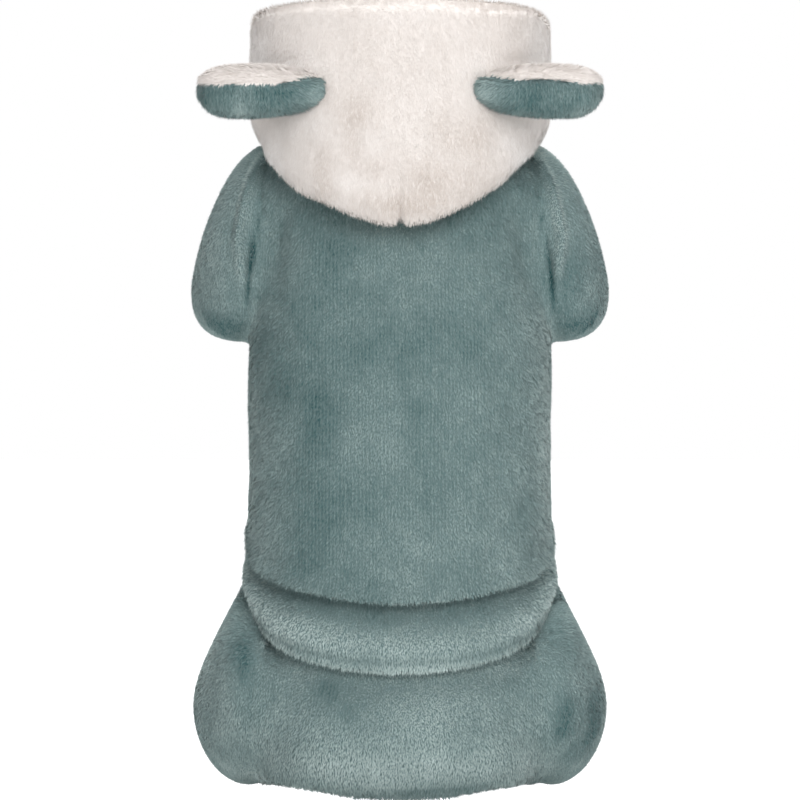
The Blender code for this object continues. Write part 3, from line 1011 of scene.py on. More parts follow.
# %% Blend of the legs and the body
HIND_BLEND = 30 * MM
TAIL_BLEND = 10 * MM
TAIL_BLEND_DOWN, TAIL_BLEND_REACH = 284 * MM, 26 * MM
SHOULDER_BLEND = 24 * MM
ARMHOLE_BLEND = 5 * MM
ARMHOLE_DOWN, ARMHOLE_REACH = 46 * MM, 24 * MM
BLEND_STEPS = 4
MOST_FILL = 12 * MM
UNDER_HOOD = 1.0 * MM
HOOD_FLOOR_START = 61 * MM
HOOD_FLOOR_WIDTH = 9 * MM
HOOD_FLOOR_RISE = 3.0 * MM
FILL_BELOW_BAND = 16 * MM


def hind_blend(point):
    """Wide over the hip and narrow at the tail hem."""
    low = smooth_step((-point.z - TAIL_BLEND_DOWN) / TAIL_BLEND_REACH)
    return HIND_BLEND + (TAIL_BLEND - HIND_BLEND) * low


def sleeve_blend(point):
    """Wide at the shoulder and narrow down the armhole."""
    shoulder = smooth_step((point.z + ARMHOLE_DOWN) / ARMHOLE_REACH)
    return ARMHOLE_BLEND + (SHOULDER_BLEND - ARMHOLE_BLEND) * shoulder


def signed(tree, point):
    """How far a point lies outside a solid, and the way out."""
    nearest, outwards, _, distance = tree.find_nearest(point)
    inside = (point - nearest).dot(outwards) < 0
    return (-distance if inside else distance), outwards


def blend_level(own, other, point, width):
    """The level of a smooth blend of two solids at a point, and the way out of it."""
    a, out_a = signed(own, point)
    b, out_b = signed(other, point)
    overlap = max(width - abs(a - b), 0.0) / width
    level = min(a, b) - overlap * overlap * width / 4
    share = overlap / 2 if a < b else 1 - overlap / 2
    return level, (out_a * (1 - share) + out_b * share).normalized()


def angle_at(point):
    """The angle round the body of a point of its surface."""
    width, back, belly = section_at(-point.z / BODY_LENGTH)
    depth = BACK_DEPTH * back if point.y < 0 else BELLY_DEPTH * belly
    return math.atan2(point.x / (BODY_HALF_WIDTH * width), -point.y / depth)


def filled_share(point):
    """How much of the blend shows: none over the waist band, all of it a little below."""
    return smooth_step((-point.z - band_hem(angle_at(point))) / FILL_BELOW_BAND)


def flow_together(piece, own, other, width_at, share_at):
    """Moves the points near a corner of two solids onto their blend, but not above the hood."""
    for vert in piece.data.vertices:
        start = vert.co.copy()
        width = width_at(start)
        a, _ = signed(own, start)
        b, _ = signed(other, start)
        if b - a > width:
            continue
        point = start.copy()
        for _ in range(BLEND_STEPS):
            level, outwards = blend_level(own, other, point, width)
            point += outwards * (a - level)
        moved = point - start
        if moved.length > MOST_FILL:
            moved *= MOST_FILL / moved.length
        vert.co = start + moved * share_at(start)
        beside_neck = smooth_step((abs(vert.co.x) - HOOD_FLOOR_START) / HOOD_FLOOR_WIDTH)
        hood_floor = HOOD_FLOOR_RISE * beside_neck - UNDER_HOOD
        vert.co.z = min(vert.co.z, max(start.z, hood_floor))


LEG_COMB = 1.4


def comb_leg(piece):
    """Where a leg's cloth lies level, its pile is combed along the leg and not down it."""
    mesh = piece.data
    comb = mesh.attributes.new("comb", "FLOAT_VECTOR", "POINT")
    for vert in mesh.vertices:
        comb.data[vert.index].vector = (0.0, LEG_COMB * vert.normal.z**2, 0.0)


for name, panels, width_at, share_at in (
    ("front_sleeve", ("back_panel", "belly_panel"), sleeve_blend, lambda point: 1.0),
    ("hind_leg", ("seat_panel", "belly_panel"), hind_blend, filled_share),
):
    for side_name in ("left", "right"):
        solid = SOLIDS[f"{name}_{side_name}"]
        for panel in panels:
            flow_together(BODY[panel], SOLIDS["body"], solid, width_at, share_at)
        leg_cloth = LEGS[f"{name}_{side_name}"]
        flow_together(leg_cloth, solid, SOLIDS["body"], width_at, share_at)
        comb_leg(leg_cloth)
print("widest blend:", HIND_BLEND)

# %% [markdown]
# ## The sleeve seams
# A seam allowance inside the cloth lifts it into a soft ridge, and the stitches pull a groove beside
# it. Both follow one line down the shoulder, so the points near that line are moved out or in.

# %% Sleeve seams
# Columns (mm): down, how far out the ridge and the groove lie, the ridge's height, the groove's depth
SLEEVE_SEAM = (
    (2, 67.5, 62.0, 1.2, 0.0),
    (16, 74.0, 68.5, 2.4, 0.3),
    (30, 77.5, 70.0, 3.0, 1.2),
    (44, 80.0, 72.5, 3.0, 2.2),
    (58, 78.8, 75.0, 2.4, 2.4),
    (70, 77.5, 76.0, 0.4, 2.0),
    (84, 77.0, 76.5, 0.0, 0.0),
)
RIDGE_WIDTH = 2.6 * MM
GROOVE_WIDTH = 1.5 * MM
RIDGE_PAINTED_LIGHT = 1.5
GROOVE_PAINTED_SHADE = 2.2
RIDGE_STAND = 0.8
FULL_RIDGE = 3 * MM
SEAM_REACH = 8 * MM
SEAM_FRONT = 10 * MM


def seam_at(down):
    downs = [row[0] * MM for row in SLEEVE_SEAM]
    if not downs[0] < down < downs[-1]:
        return None
    return [size * MM for size in row_at(SLEEVE_SEAM, place_in(downs, down))[1:]]


def refine_seam(piece):
    """Divides the faces near the seam, so the ridge and the groove have enough points."""
    mesh = piece.data
    surface = bmesh.new()
    surface.from_mesh(mesh)

    def near(vert):
        seam = seam_at(-vert.co.z)
        return seam and vert.co.y < SEAM_FRONT and abs(abs(vert.co.x) - seam[0]) < SEAM_REACH

    close = [edge for edge in surface.edges if all(near(vert) for vert in edge.verts)]
    bmesh.ops.subdivide_edges(surface, edges=close, cuts=2, use_grid_fill=True)
    surface.to_mesh(mesh)
    surface.free()
    mesh.set_sharp_from_angle(angle=SHARP_ANGLE)


def sew_sleeve(piece):
    """Raises the ridge, sinks the groove, and tells the pile of both: it stands up on the ridge,
    with painted light there and painted shade in the groove.
    """
    refine_seam(piece)
    mesh = piece.data
    normals = [vert.normal.copy() for vert in mesh.vertices]
    ridges = {}
    for vert, outwards in zip(mesh.vertices, normals):
        seam = seam_at(-vert.co.z)
        if seam is None or vert.co.y > 0 or outwards.y > 0:
            continue
        ridge_out, groove_out, height, depth = seam
        ridge = height * bump(abs(vert.co.x) - ridge_out, RIDGE_WIDTH)
        groove = depth * bump(abs(vert.co.x) - groove_out, GROOVE_WIDTH)
        ridges[vert.index] = (ridge / FULL_RIDGE, groove / FULL_RIDGE)
        vert.co += outwards * (ridge - groove)
    # The ridge gets painted light and the groove painted shade
    brushing_and_painted_light = mesh.uv_layers["brushing_and_painted_light"].uv
    tufts = mesh.uv_layers["tufts"].uv
    for loop in mesh.loops:
        ridge, groove = ridges.get(loop.vertex_index, (0.0, 0.0))
        brushing_and_painted_light[loop.index].vector.x += RIDGE_PAINTED_LIGHT * ridge - GROOVE_PAINTED_SHADE * groove
        tufts[loop.index].vector.y += RIDGE_STAND * ridge
    return len(ridges)


for node_name in ("back_panel", "front_sleeve_left", "front_sleeve_right"):
    piece = LEGS[node_name] if node_name in LEGS else BODY[node_name]
    print("seam points on", node_name, sew_sleeve(piece))

# %% [markdown]
# ## The hood
# Two cut halves meet at a seam down the middle of the back. The pouch hangs over the shoulders.

# %% Hood pieces
HOOD_ROUND_STEPS = 84
HOOD_ROW = 20 * MM
HOOD_ROWS = 78
SEAM_TOUCH = 0.02 * MM
CREAM_CLOTH = (CREAM_PILE, CREAM_BACKING)
HOOD = {}

# Painted light and shade of the hood: painted shade in its folds and under the ears, and painted
# light on its sides that turn away from the lamps and above the ears. Columns as in the body's
# patches
HOOD_PAINTED_LIGHT_AND_SHADE = (
    (-20, -18, 8, 7, -1.2),
    (-13, -2, 6, 8, 0.7),
    (-23, -3, 4, 12, -0.8),
    (-40, -11, 8, 7, 1.0),
    (-38, 12, 5, 12, -1.3),
    (-23, 17, 10, 5, 1.0),
    (-13, 8, 8, 5, -0.7),
    (20, -12, 12, 14, -1.0),
    (13, 14, 10, 9, -1.2),
    (28, 20, 22, 14, -1.0),
    (0, 28, 18, 6, -1.6),
    (-36, 21, 10, 5, -1.0),
    (40, -6, 8, 14, -1.2),
    (53, -2, 9, 7, 1.2),
    (64, 8, 7, 8, 2.0),
    (-67, 4, 10, 11, 2.0),
    (-68, -48, 13, 16, 1.8),
    (70, -50, 9, 16, 1.2),
    (-50, -42, 12, 6, 1.2),
    (48, -42, 10, 6, 0.8),
)
# The rim's roll is painted darker, as painted shade
RIM_PAINTED_SHADE = -0.9

# Places along HOOD_PROFILE, counted in rows, where the rim and the pouch's fold lie
RIM_SHADE_ROW, RIM_PILE_ROW, RIM_ROWS = 12.0, 12.2, 0.8
FOLD_ROW, FOLD_ROWS = 3.6, 1.0
FOLD_FRINGE = 0.7
RIM_FRINGE = 0.1
NECK_SHORT = 0.8


# Painted shade on the rim, and the hood's patches of painted light and shade
def hood_painted_light(point, place):
    at_rim = smooth_step((place - RIM_SHADE_ROW) / RIM_ROWS)
    return RIM_PAINTED_SHADE * at_rim + light_at(point, HOOD_PAINTED_LIGHT_AND_SHADE)


def hood_tufts(place):
    """How long the pile is, and how far it stands up, at the pouch's fold and at the rim."""
    fold = bump(place - FOLD_ROW, FOLD_ROWS)
    rim = smooth_step((place - RIM_PILE_ROW) / RIM_ROWS)
    short = 1 - NECK_SHORT * smooth_step(1 - place)
    return short * (1 + FOLD_FRINGE * fold) + RIM_FRINGE * rim, RIM_FRINGE * rim


RIM_COMB_HEIGHT = 8 * MM
RIM_COMB_OUT = 1.6
RIM_COMB_UP = 1.5
RIM_COMB_SLOPE = 0.35


def comb_rim(piece):
    """Pile on the rim's edge lies outwards, and just below it stands."""
    mesh = piece.data
    comb = mesh.attributes.new("comb", "FLOAT_VECTOR", "POINT")
    for vert in mesh.vertices:
        upward = max(vert.normal.z, 0.0)
        way = Vector((vert.co.x, vert.co.y, 0.0)).normalized() * (RIM_COMB_OUT * upward)
        if vert.co.z > RIM_COMB_HEIGHT:
            way.z = RIM_COMB_UP * smooth_step(upward / RIM_COMB_SLOPE)
        comb.data[vert.index].vector = way


def neck_edge(angle, rise):
    """The hood's seam allowance, which lies on the body's top edge."""
    edge = body_point(angle, 0.0, -WALL)
    edge.z = rise
    return edge


for side, side_name in ((-1, "left"), (1, "right")):
    seam = SEAM_GAP / 2 / HOOD_HALF_WIDTH
    span = (math.pi - 2 * seam) / HOOD_ROUND_STEPS
    angles = [side * (seam + span * turn) for turn in range(HOOD_ROUND_STEPS + 1)]
    last = len(HOOD_PROFILE) - 1
    places = [last * row / HOOD_ROWS for row in range(HOOD_ROWS + 1)]
    outer = [[hood_at(a, place, PILE_STAND) for a in angles] for place in places]
    inner = [[hood_at(a, place, WALL) for a in angles] for place in places]
    outer.insert(0, [neck_edge(a, PILE_STAND) for a in angles])
    inner.insert(0, [neck_edge(a, WALL) for a in angles])
    for outer_row, inner_row in zip(outer, inner):
        for end in (0, -1):
            outer_row[end].x = inner_row[end].x = side * SEAM_TOUCH
    marks = [
        [
            (HOOD_HALF_WIDTH * a, HOOD_ROW * place, *hood_tufts(place), hood_painted_light(point, place))
            for a, point in zip(angles, row)
        ]
        for place, row in zip((0.0, *places), outer)
    ]
    HOOD[f"hood_{side_name}"] = cloth_between(
        f"hood_{side_name}_cloth", outer, inner, marks, False, CREAM_CLOTH
    )
    comb_rim(HOOD[f"hood_{side_name}"])
print("hood pieces:", {name: len(piece.data.polygons) for name, piece in HOOD.items()})

# %% [markdown]
# ## The ears
# Each ear is a padded lobe of two cut pieces round a soft filling. A cloth simulation with a little
# pressure inside fills it out, as stuffing does.

# %% Ear forms
EAR_VOXEL = 1.8 * MM
EAR_FRAMES = 14
EAR_SHRINK = 1.5 * MM
EAR_MOST_MOVE = 1.8 * MM
EAR_SEAM_DEPTH = 0.7 * MM
EAR_SEAM_WIDTH = 1.6 * MM
EAR_UNDERSIDE_PAINTED_SHADE = -0.45
EAR_SUNK = 2.2 * MM
EAR_HIDDEN = 0.6 * MM
EAR_HIDDEN_REACH = 0.2 * MM
EAR_SQUARENESS = 2.3
EAR_TIP_INSIDE = 0.001 * MM
EAR_THINNEST = 0.4 * MM
EAR_END_RINGS, EAR_END_SHRINK = 3, 0.35
EAR_PRESSURE = 4.0
EAR_QUALITY = 5
RIGHT_SEAM_RISE, RIGHT_SEAM_OUT, RIGHT_SEAM_REACH = 2.0 * MM, 68 * MM, 20 * MM
ROOT_COMB, ROOT_COMB_START, ROOT_COMB_REACH = -1.6, 8 * MM, 26 * MM
CREAM_COMB_OUT, CREAM_COMB_UP = 0.9, 0.6
EAR_LOW, EAR_LOW_REACH = 24 * MM, 8 * MM
EAR_LOW_LENGTH, EAR_LOW_STAND = 0.5, 0.25
EAR_TEAL_SLOT, EAR_CREAM_SLOT, EAR_INSIDE_SLOT = 0, 1, 2
HOOD_SOLID_STEPS, HOOD_SOLID_ROWS = 96, 40

# An ear seen from behind, from its root to its tip. Columns: out, and the heights of its top, its
# seam and its underside (mm), and its half depth (mm)
EAR_SECTIONS = (
    (35.5, 35.8, 34.8, 25.5, 7.0),
    (38.0, 37.5, 35.4, 22.0, 12.0),
    (43.0, 39.0, 34.6, 19.2, 15.5),
    (50.0, 40.6, 33.4, 17.2, 18.0),
    (60.0, 42.2, 32.0, 16.2, 19.5),
    (70.0, 42.8, 32.0, 15.4, 20.0),
    (80.0, 42.6, 31.9, 15.2, 19.5),
    (88.0, 42.0, 31.6, 15.6, 18.5),
    (94.0, 40.6, 31.8, 17.0, 16.0),
    (98.5, 38.4, 32.4, 19.6, 12.0),
    (101.6, 35.5, 32.6, 24.5, 5.0),
)
EAR_STEPS = 40
EAR_ROUND = 32


def ear_form(side, inset):
    """A closed lobe through the ear's sections, drawn in by an inset."""
    rings = []
    last = len(EAR_SECTIONS) - 1
    for step in range(EAR_STEPS + 1):
        out, top, _, under, half_depth = row_at(EAR_SECTIONS, last * step / EAR_STEPS)
        middle, half_height = (top + under) / 2 * MM, (top - under) / 2 * MM
        ends = min(step, EAR_STEPS - step) / EAR_END_RINGS
        draw = inset * min(ends + EAR_END_SHRINK, 1.0)
        high = max(half_height - draw, EAR_THINNEST)
        deep = max(half_depth * MM - draw, EAR_THINNEST)
        centre = (EAR_ROOT + EAR_LENGTH / 2) / MM
        reach = centre + (out - centre) * (1 - inset / (EAR_LENGTH / 2))
        ring = []
        for turn in range(EAR_ROUND):
            across, along = round_section(math.tau * turn / EAR_ROUND, EAR_SQUARENESS)
            ring.append(
                Vector((side * reach * MM, -EAR_BACK + deep * across, middle + high * along))
            )
        rings.append(ring)
    return rings


def ear_seam_height(place):
    """The height of the seam above a place. The right ear's is a little higher in its middle."""
    out = abs(place.x)
    higher = RIGHT_SEAM_RISE * bump(out - RIGHT_SEAM_OUT, RIGHT_SEAM_REACH) if place.x > 0 else 0.0
    outs = [row[0] * MM for row in EAR_SECTIONS]
    held = min(out, outs[-1] - EAR_TIP_INSIDE)
    return row_at(EAR_SECTIONS, place_in(outs, held))[2] * MM + higher


# %% Ear pads
def fill_out(pad):
    """Fills a pad by cloth simulation, and holds each point near its start."""
    start = [vert.co.copy() for vert in pad.data.vertices]
    stuffing = pad.modifiers.new("stuffing", "CLOTH")
    settings = stuffing.settings
    settings.quality = EAR_QUALITY
    settings.use_pressure = True
    settings.uniform_pressure_force = EAR_PRESSURE
    settings.effector_weights.gravity = 0.0
    stuffing.point_cache.frame_start = 1
    stuffing.point_cache.frame_end = EAR_FRAMES
    for frame_number in range(1, EAR_FRAMES + 1):
        bpy.context.scene.frame_set(frame_number)
    applied(pad)
    for vert, origin in zip(pad.data.vertices, start):
        moved = vert.co - origin
        if moved.length > EAR_MOST_MOVE:
            vert.co = origin + moved * (EAR_MOST_MOVE / moved.length)
    bpy.context.scene.frame_set(1)


def hood_solid(name, inset):
    """The whole hood as one solid, `inset` metres inside its outer surface."""
    last = len(HOOD_PROFILE) - 1
    turns = [math.tau * i / HOOD_SOLID_STEPS - math.pi for i in range(HOOD_SOLID_STEPS)]
    places = [last * row / HOOD_SOLID_ROWS for row in range(HOOD_SOLID_ROWS + 1)]
    return closed_loft(name, [[hood_at(a, place, inset) for a in turns] for place in places])


def end_at_hood(pad, cutter):
    """Cuts away what would stand inside the hood, so the ear's root lies in the hood's wall."""
    cut(pad, cutter)
    applied(pad)
    pad.data.materials.clear()


def sew_ear(pad, side, hood_tree):
    """Sinks the seam, gives each half its cloth, paints shade on the teal underside, and says how its
    pile is combed.
    """
    mesh = pad.data
    comb = mesh.attributes.new("comb", "FLOAT_VECTOR", "POINT")
    for label in ("weave", "tufts", "brushing_and_painted_light"):
        mesh.uv_layers.new(name=label)
    normals = [vert.normal.copy() for vert in mesh.vertices]
    for vert, outwards in zip(mesh.vertices, normals):
        over = vert.co.z - ear_seam_height(vert.co)
        if abs(over) < EAR_VOXEL / 2:
            vert.co.z -= over
        vert.co -= outwards * EAR_SEAM_DEPTH * bump(over, EAR_SEAM_WIDTH)
        past_root = abs(vert.co.x) - EAR_ROOT - ROOT_COMB_START
        near_root = 1 - smooth_step(past_root / ROOT_COMB_REACH)
        if over < 0:
            comb.data[vert.index].vector = (ROOT_COMB * side * near_root, 0.0, 0.0)
        else:
            comb.data[vert.index].vector = (CREAM_COMB_OUT * side, 0.0, CREAM_COMB_UP)
    for face in mesh.polygons:
        over = face.center.z - ear_seam_height(face.center)
        hidden = signed(hood_tree, face.center)[0] < EAR_HIDDEN_REACH
        cover = EAR_CREAM_SLOT if over >= 0 else EAR_TEAL_SLOT
        face.material_index = EAR_INSIDE_SLOT if hidden else cover
        low = smooth_step((EAR_LOW - face.center.z) / EAR_LOW_REACH)
        # The teal underside is painted darker, as painted shade, and the patches add painted light
        # and shade
        tone = EAR_UNDERSIDE_PAINTED_SHADE if over < 0 else 0.0
        tone += brushing_and_painted_light_at(face.center)
        for index in face.loop_indices:
            mesh.uv_layers["brushing_and_painted_light"].uv[index].vector = (tone, 0.0)
            place = mesh.vertices[mesh.loops[index].vertex_index].co
            mesh.uv_layers["weave"].uv[index].vector = (place.x, place.z)
            stands = (1 + EAR_LOW_LENGTH * low, EAR_LOW_STAND * low)
            mesh.uv_layers["tufts"].uv[index].vector = stands


HOOD_CUTTER = hood_solid("hood_cutter", EAR_SUNK)
HOOD_WHOLE = hood_solid("hood_whole", EAR_HIDDEN)
HOOD_TREE = solid_tree(HOOD_WHOLE)
EARS = {}
for side, side_name in ((-1, "left"), (1, "right")):
    pad = closed_loft(f"ear_{side_name}_cloth", ear_form(side, EAR_SHRINK))
    remesh = pad.modifiers.new("remesh", "REMESH")
    remesh.mode = "VOXEL"
    remesh.voxel_size = EAR_VOXEL
    applied(pad)
    fill_out(pad)
    end_at_hood(pad, HOOD_CUTTER)
    for material in (TEAL_PILE, EAR_CREAM_PILE, CREAM_BACKING):
        pad.data.materials.append(material)
    sew_ear(pad, side, HOOD_TREE)
    pad.data.shade_smooth()
    EARS[side_name] = pad
for helper in (HOOD_CUTTER, HOOD_WHOLE):
    bpy.data.objects.remove(helper)
print("ear pads:", {name: len(piece.data.polygons) for name, piece in EARS.items()})

# %% [markdown]
# ## Pile
# Plush is thousands of short fibres that stand in tufts and lie over one way, the nap. Geometry
# Nodes scatter points on the plush side, put a small blade on each and lay it along the nap.
# Noise turns neighbouring blades the same way, which makes the tufts and partings.

# %% Geometry Nodes tree for pile
PILE_INPUTS = (
    ("Density", "NodeSocketFloat", 2600000.0),
    ("Length", "NodeSocketFloat", 2.0 * MM),
    ("Width", "NodeSocketFloat", 0.6 * MM),
    ("Lift", "NodeSocketFloat", 0.7),
    ("Sway", "NodeSocketFloat", 0.45),
    ("Tuft Scale", "NodeSocketFloat", 260.0),
    ("Row Pitch", "NodeSocketFloat", 1.8 * MM),
    ("Row Depth", "NodeSocketFloat", 0.35),
    ("Roll", "NodeSocketFloat", 0.4),
    ("Softness", "NodeSocketFloat", 0.5),
    ("Seed", "NodeSocketInt", 1),
    ("Nap", "NodeSocketVector", (0.0, 0.0, -1.0)),
    ("Plush", "NodeSocketMaterial", None),
)


def pile_tree():
    tree = bpy.data.node_groups.new("plush pile", "GeometryNodeTree")
    face = tree.interface
    face.new_socket(name="Cloth", in_out="INPUT", socket_type="NodeSocketGeometry")
    for name, kind, value in PILE_INPUTS:
        socket = face.new_socket(name=name, in_out="INPUT", socket_type=kind)
        if value is not None:
            socket.default_value = value
    face.new_socket(name="Pile", in_out="OUTPUT", socket_type="NodeSocketGeometry")
    given = node(tree, "NodeGroupInput").outputs
    output = node(tree, "NodeGroupOutput")
    link = tree.links.new

    def wire(value, socket):
        if isinstance(value, bpy.types.NodeSocket):
            link(value, socket)
        else:
            socket.default_value = value

    def math_node(operation, *values):
        made = node(tree, "ShaderNodeMath", operation=operation)
        for value, socket in zip(values, made.inputs):
            wire(value, socket)
        return made.outputs[0]

    def vector_node(operation, *values):
        made = node(tree, "ShaderNodeVectorMath", operation=operation)
        for value, socket in zip(values, made.inputs):
            wire(value, socket)
        return made.outputs["Vector"]

    def scaled(vector, factor):
        made = node(tree, "ShaderNodeVectorMath", operation="SCALE")
        wire(vector, made.inputs[0])
        wire(factor, made.inputs["Scale"])
        return made.outputs["Vector"]

    def random_between(low, high, seed):
        made = node(tree, "FunctionNodeRandomValue", data_type="FLOAT")
        made.inputs[2].default_value = low
        made.inputs[3].default_value = high
        wire(seed, made.inputs["Seed"])
        return made.outputs[1]

    def attribute(label):
        made = node(tree, "GeometryNodeInputNamedAttribute", data_type="FLOAT_VECTOR")
        made.inputs["Name"].default_value = label
        return made.outputs["Attribute"]

    def parts_of(vector):
        made = node(tree, "ShaderNodeSeparateXYZ")
        link(vector, made.inputs[0])
        return made.outputs

    def stored(geometry, label, value, data_type, domain):
        made = node(
            tree, "GeometryNodeStoreNamedAttribute", data_type=data_type, domain=domain
        )
        link(geometry, made.inputs["Geometry"])
        made.inputs["Name"].default_value = label
        wire(value, made.inputs["Value"])
        return made.outputs["Geometry"]

    # Points on the plush side
    chosen = node(tree, "GeometryNodeMaterialSelection")
    link(given["Plush"], chosen.inputs["Material"])
    scatter = node(tree, "GeometryNodeDistributePointsOnFaces")
    link(given["Cloth"], scatter.inputs["Mesh"])
    link(chosen.outputs["Selection"], scatter.inputs["Selection"])
    link(given["Density"], scatter.inputs["Density"])
    link(given["Seed"], scatter.inputs["Seed"])
    outwards = scatter.outputs["Normal"]

    # What the cloth's maps say at each point: rows of the knit, and longer or standing tufts
    tuft = parts_of(attribute("tufts"))
    turns = math_node("DIVIDE", parts_of(attribute("weave"))["X"], given["Row Pitch"])
    wave = math_node("COSINE", math_node("MULTIPLY", turns, math.tau))
    ridge = math_node("MULTIPLY", wave, given["Row Depth"])

    # The way each blade lies
    place = node(tree, "GeometryNodeInputPosition").outputs["Position"]
    tufts = node(tree, "ShaderNodeTexNoise", noise_dimensions="3D")
    link(place, tufts.inputs["Vector"])
    link(given["Tuft Scale"], tufts.inputs["Scale"])
    tufts.inputs["Detail"].default_value = 1.5
    centred = vector_node("SUBTRACT", tufts.outputs["Color"], (0.5, 0.5, 0.5))
    swayed = scaled(centred, math_node("MULTIPLY", given["Sway"], 3.0))
    leaning = vector_node("ADD", given["Nap"], attribute("comb"))
    leaning = vector_node("ADD", leaning, swayed)
    jitter = node(tree, "FunctionNodeRandomValue", data_type="FLOAT_VECTOR")
    jitter.inputs[0].default_value = (-0.3, -0.3, -0.3)
    jitter.inputs[1].default_value = (0.3, 0.3, 0.3)
    link(given["Seed"], jitter.inputs["Seed"])
    leaning = vector_node("ADD", leaning, jitter.outputs[0])
    dot = node(tree, "ShaderNodeVectorMath", operation="DOT_PRODUCT")
    link(leaning, dot.inputs[0])
    link(outwards, dot.inputs[1])
    flat = vector_node("SUBTRACT", leaning, scaled(outwards, dot.outputs["Value"]))
    flat = vector_node("NORMALIZE", flat)
    lift = math_node("MULTIPLY", given["Lift"], random_between(0.6, 1.5, 11))
    lift = math_node("ADD", lift, math_node("MULTIPLY", ridge, 0.15))
    lift = math_node("ADD", lift, tuft["Y"])
    lie = vector_node("NORMALIZE", vector_node("ADD", flat, scaled(outwards, lift)))
    across = vector_node("CROSS_PRODUCT", lie, outwards)
    roll = scaled(across, math_node("MULTIPLY", random_between(-1.0, 1.0, 12), given["Roll"]))
    turned = node(tree, "FunctionNodeAxesToRotation", primary_axis="Y", secondary_axis="Z")
    link(lie, turned.inputs[0])
    link(vector_node("ADD", outwards, roll), turned.inputs[1])

    # One blade: a narrow triangle with its root on the cloth
    strip = node(tree, "GeometryNodeMeshGrid")
    strip.inputs["Vertices X"].default_value = 2
    strip.inputs["Vertices Y"].default_value = 2
    link(given["Width"], strip.inputs["Size X"])
    link(given["Length"], strip.inputs["Size Y"])
    parts = parts_of(node(tree, "GeometryNodeInputPosition").outputs["Position"])
    share = math_node("ADD", math_node("DIVIDE", parts["Y"], given["Length"]), 0.5)
    shaped = node(tree, "ShaderNodeCombineXYZ")
    narrow = math_node("SUBTRACT", 1.0, share)
    wire(math_node("MULTIPLY", parts["X"], narrow), shaped.inputs["X"])
    wire(math_node("MULTIPLY", share, given["Length"]), shaped.inputs["Y"])
    kept = node(tree, "GeometryNodeCaptureAttribute")
    kept.capture_items.new("FLOAT", "Along")
    link(strip.outputs["Mesh"], kept.inputs["Geometry"])
    link(share, kept.inputs["Along"])
    bent = node(tree, "GeometryNodeSetPosition")
    link(kept.outputs["Geometry"], bent.inputs["Geometry"])
    link(shaped.outputs["Vector"], bent.inputs["Position"])
    along = kept.outputs["Along"]
    named = stored(bent.outputs["Geometry"], "along", along, "FLOAT", "POINT")
    pointed = node(tree, "GeometryNodeMergeByDistance")
    link(named, pointed.inputs["Geometry"])
    pointed.inputs["Distance"].default_value = 0.00001

    # Blades on the points
    planted = node(tree, "GeometryNodeInstanceOnPoints")
    link(scatter.outputs["Points"], planted.inputs["Points"])
    link(pointed.outputs["Geometry"], planted.inputs["Instance"])
    link(turned.outputs[0], planted.inputs["Rotation"])
    size = node(tree, "ShaderNodeCombineXYZ")
    wire(random_between(0.7, 1.25, 13), size.inputs["X"])
    longer = math_node("MULTIPLY", random_between(0.65, 1.25, 14), tuft["X"])
    wire(longer, size.inputs["Y"])
    size.inputs["Z"].default_value = 1.0
    link(size.outputs["Vector"], planted.inputs["Scale"])
    tint = math_node("ADD", random_between(0.0, 1.0, 15), ridge)
    # The tint also carries the painted light and shade of the patches and lines
    tint = math_node("ADD", tint, parts_of(attribute("brushing_and_painted_light"))["X"])
    tinted = stored(planted.outputs["Instances"], "tint", tint, "FLOAT", "INSTANCE")
    shown = stored(tinted, "cloth_normal", outwards, "FLOAT_VECTOR", "INSTANCE")
    real = node(tree, "GeometryNodeRealizeInstances")
    link(shown, real.inputs["Geometry"])

    # Light falls on the pile much as on the cloth below it, which keeps the plush soft
    own_way = node(tree, "GeometryNodeInputNormal").outputs[0]
    toward = vector_node("SUBTRACT", attribute("cloth_normal"), own_way)
    soft_way = vector_node("ADD", own_way, scaled(toward, given["Softness"]))
    softened = node(tree, "GeometryNodeSetMeshNormal", mode="FREE", domain="CORNER")
    link(real.outputs["Geometry"], softened.inputs["Mesh"])
    link(vector_node("NORMALIZE", soft_way), softened.inputs["Custom Normal"])
    dressed = node(tree, "GeometryNodeSetMaterial")
    link(softened.outputs["Mesh"], dressed.inputs["Geometry"])
    link(given["Plush"], dressed.inputs["Material"])
    link(dressed.outputs["Geometry"], output.inputs["Pile"])
    return tree


PILE_TREE = pile_tree()
PILE_SOCKETS = {item.name: item.identifier for item in PILE_TREE.interface.items_tree}
print("pile tree:", len(PILE_TREE.nodes), "nodes")


# %% Pile for a piece of cloth
def grow_pile(cloth, name, plush_cloth, **sizes):
    """A plain mesh of blades that cover what a piece of cloth has of one plush."""
    grown = bpy.data.objects.new(name, cloth.data)
    GARMENT.objects.link(grown)
    growth = grown.modifiers.new("pile", "NODES")
    growth.node_group = PILE_TREE
    growth[PILE_SOCKETS["Plush"]] = plush_cloth
    for label, value in sizes.items():
        growth[PILE_SOCKETS[label.replace("_", " ").title()]] = value
    graph = bpy.context.evaluated_depsgraph_get()
    mesh = bpy.data.meshes.new_from_object(grown.evaluated_get(graph))
    grown.modifiers.clear()
    grown.data = mesh
    mesh.name = name
    return grown


# Densities are blades to a square metre
BACK_PILE = {"density": 2900000.0}
BELLY_PILE = {"density": 1400000.0}
LEG_PILE = {**BACK_PILE, "length": 1.8 * MM, "lift": 0.5, "sway": 0.22, "row_depth": 0.2}
HOOD_PILE = {
    "density": 3600000.0,
    "length": 2.3 * MM,
    "width": 0.5 * MM,
    "lift": 0.42,
    "row_depth": 0.1,
    "roll": 0.15,
    "softness": 0.95,
}
EAR_PILE = {"density": 3400000.0, "length": 2.6 * MM, "row_depth": 0.2}
EAR_HALVES = (("top", EAR_CREAM_PILE, 0.5), ("under", TEAL_PILE, 0.55))

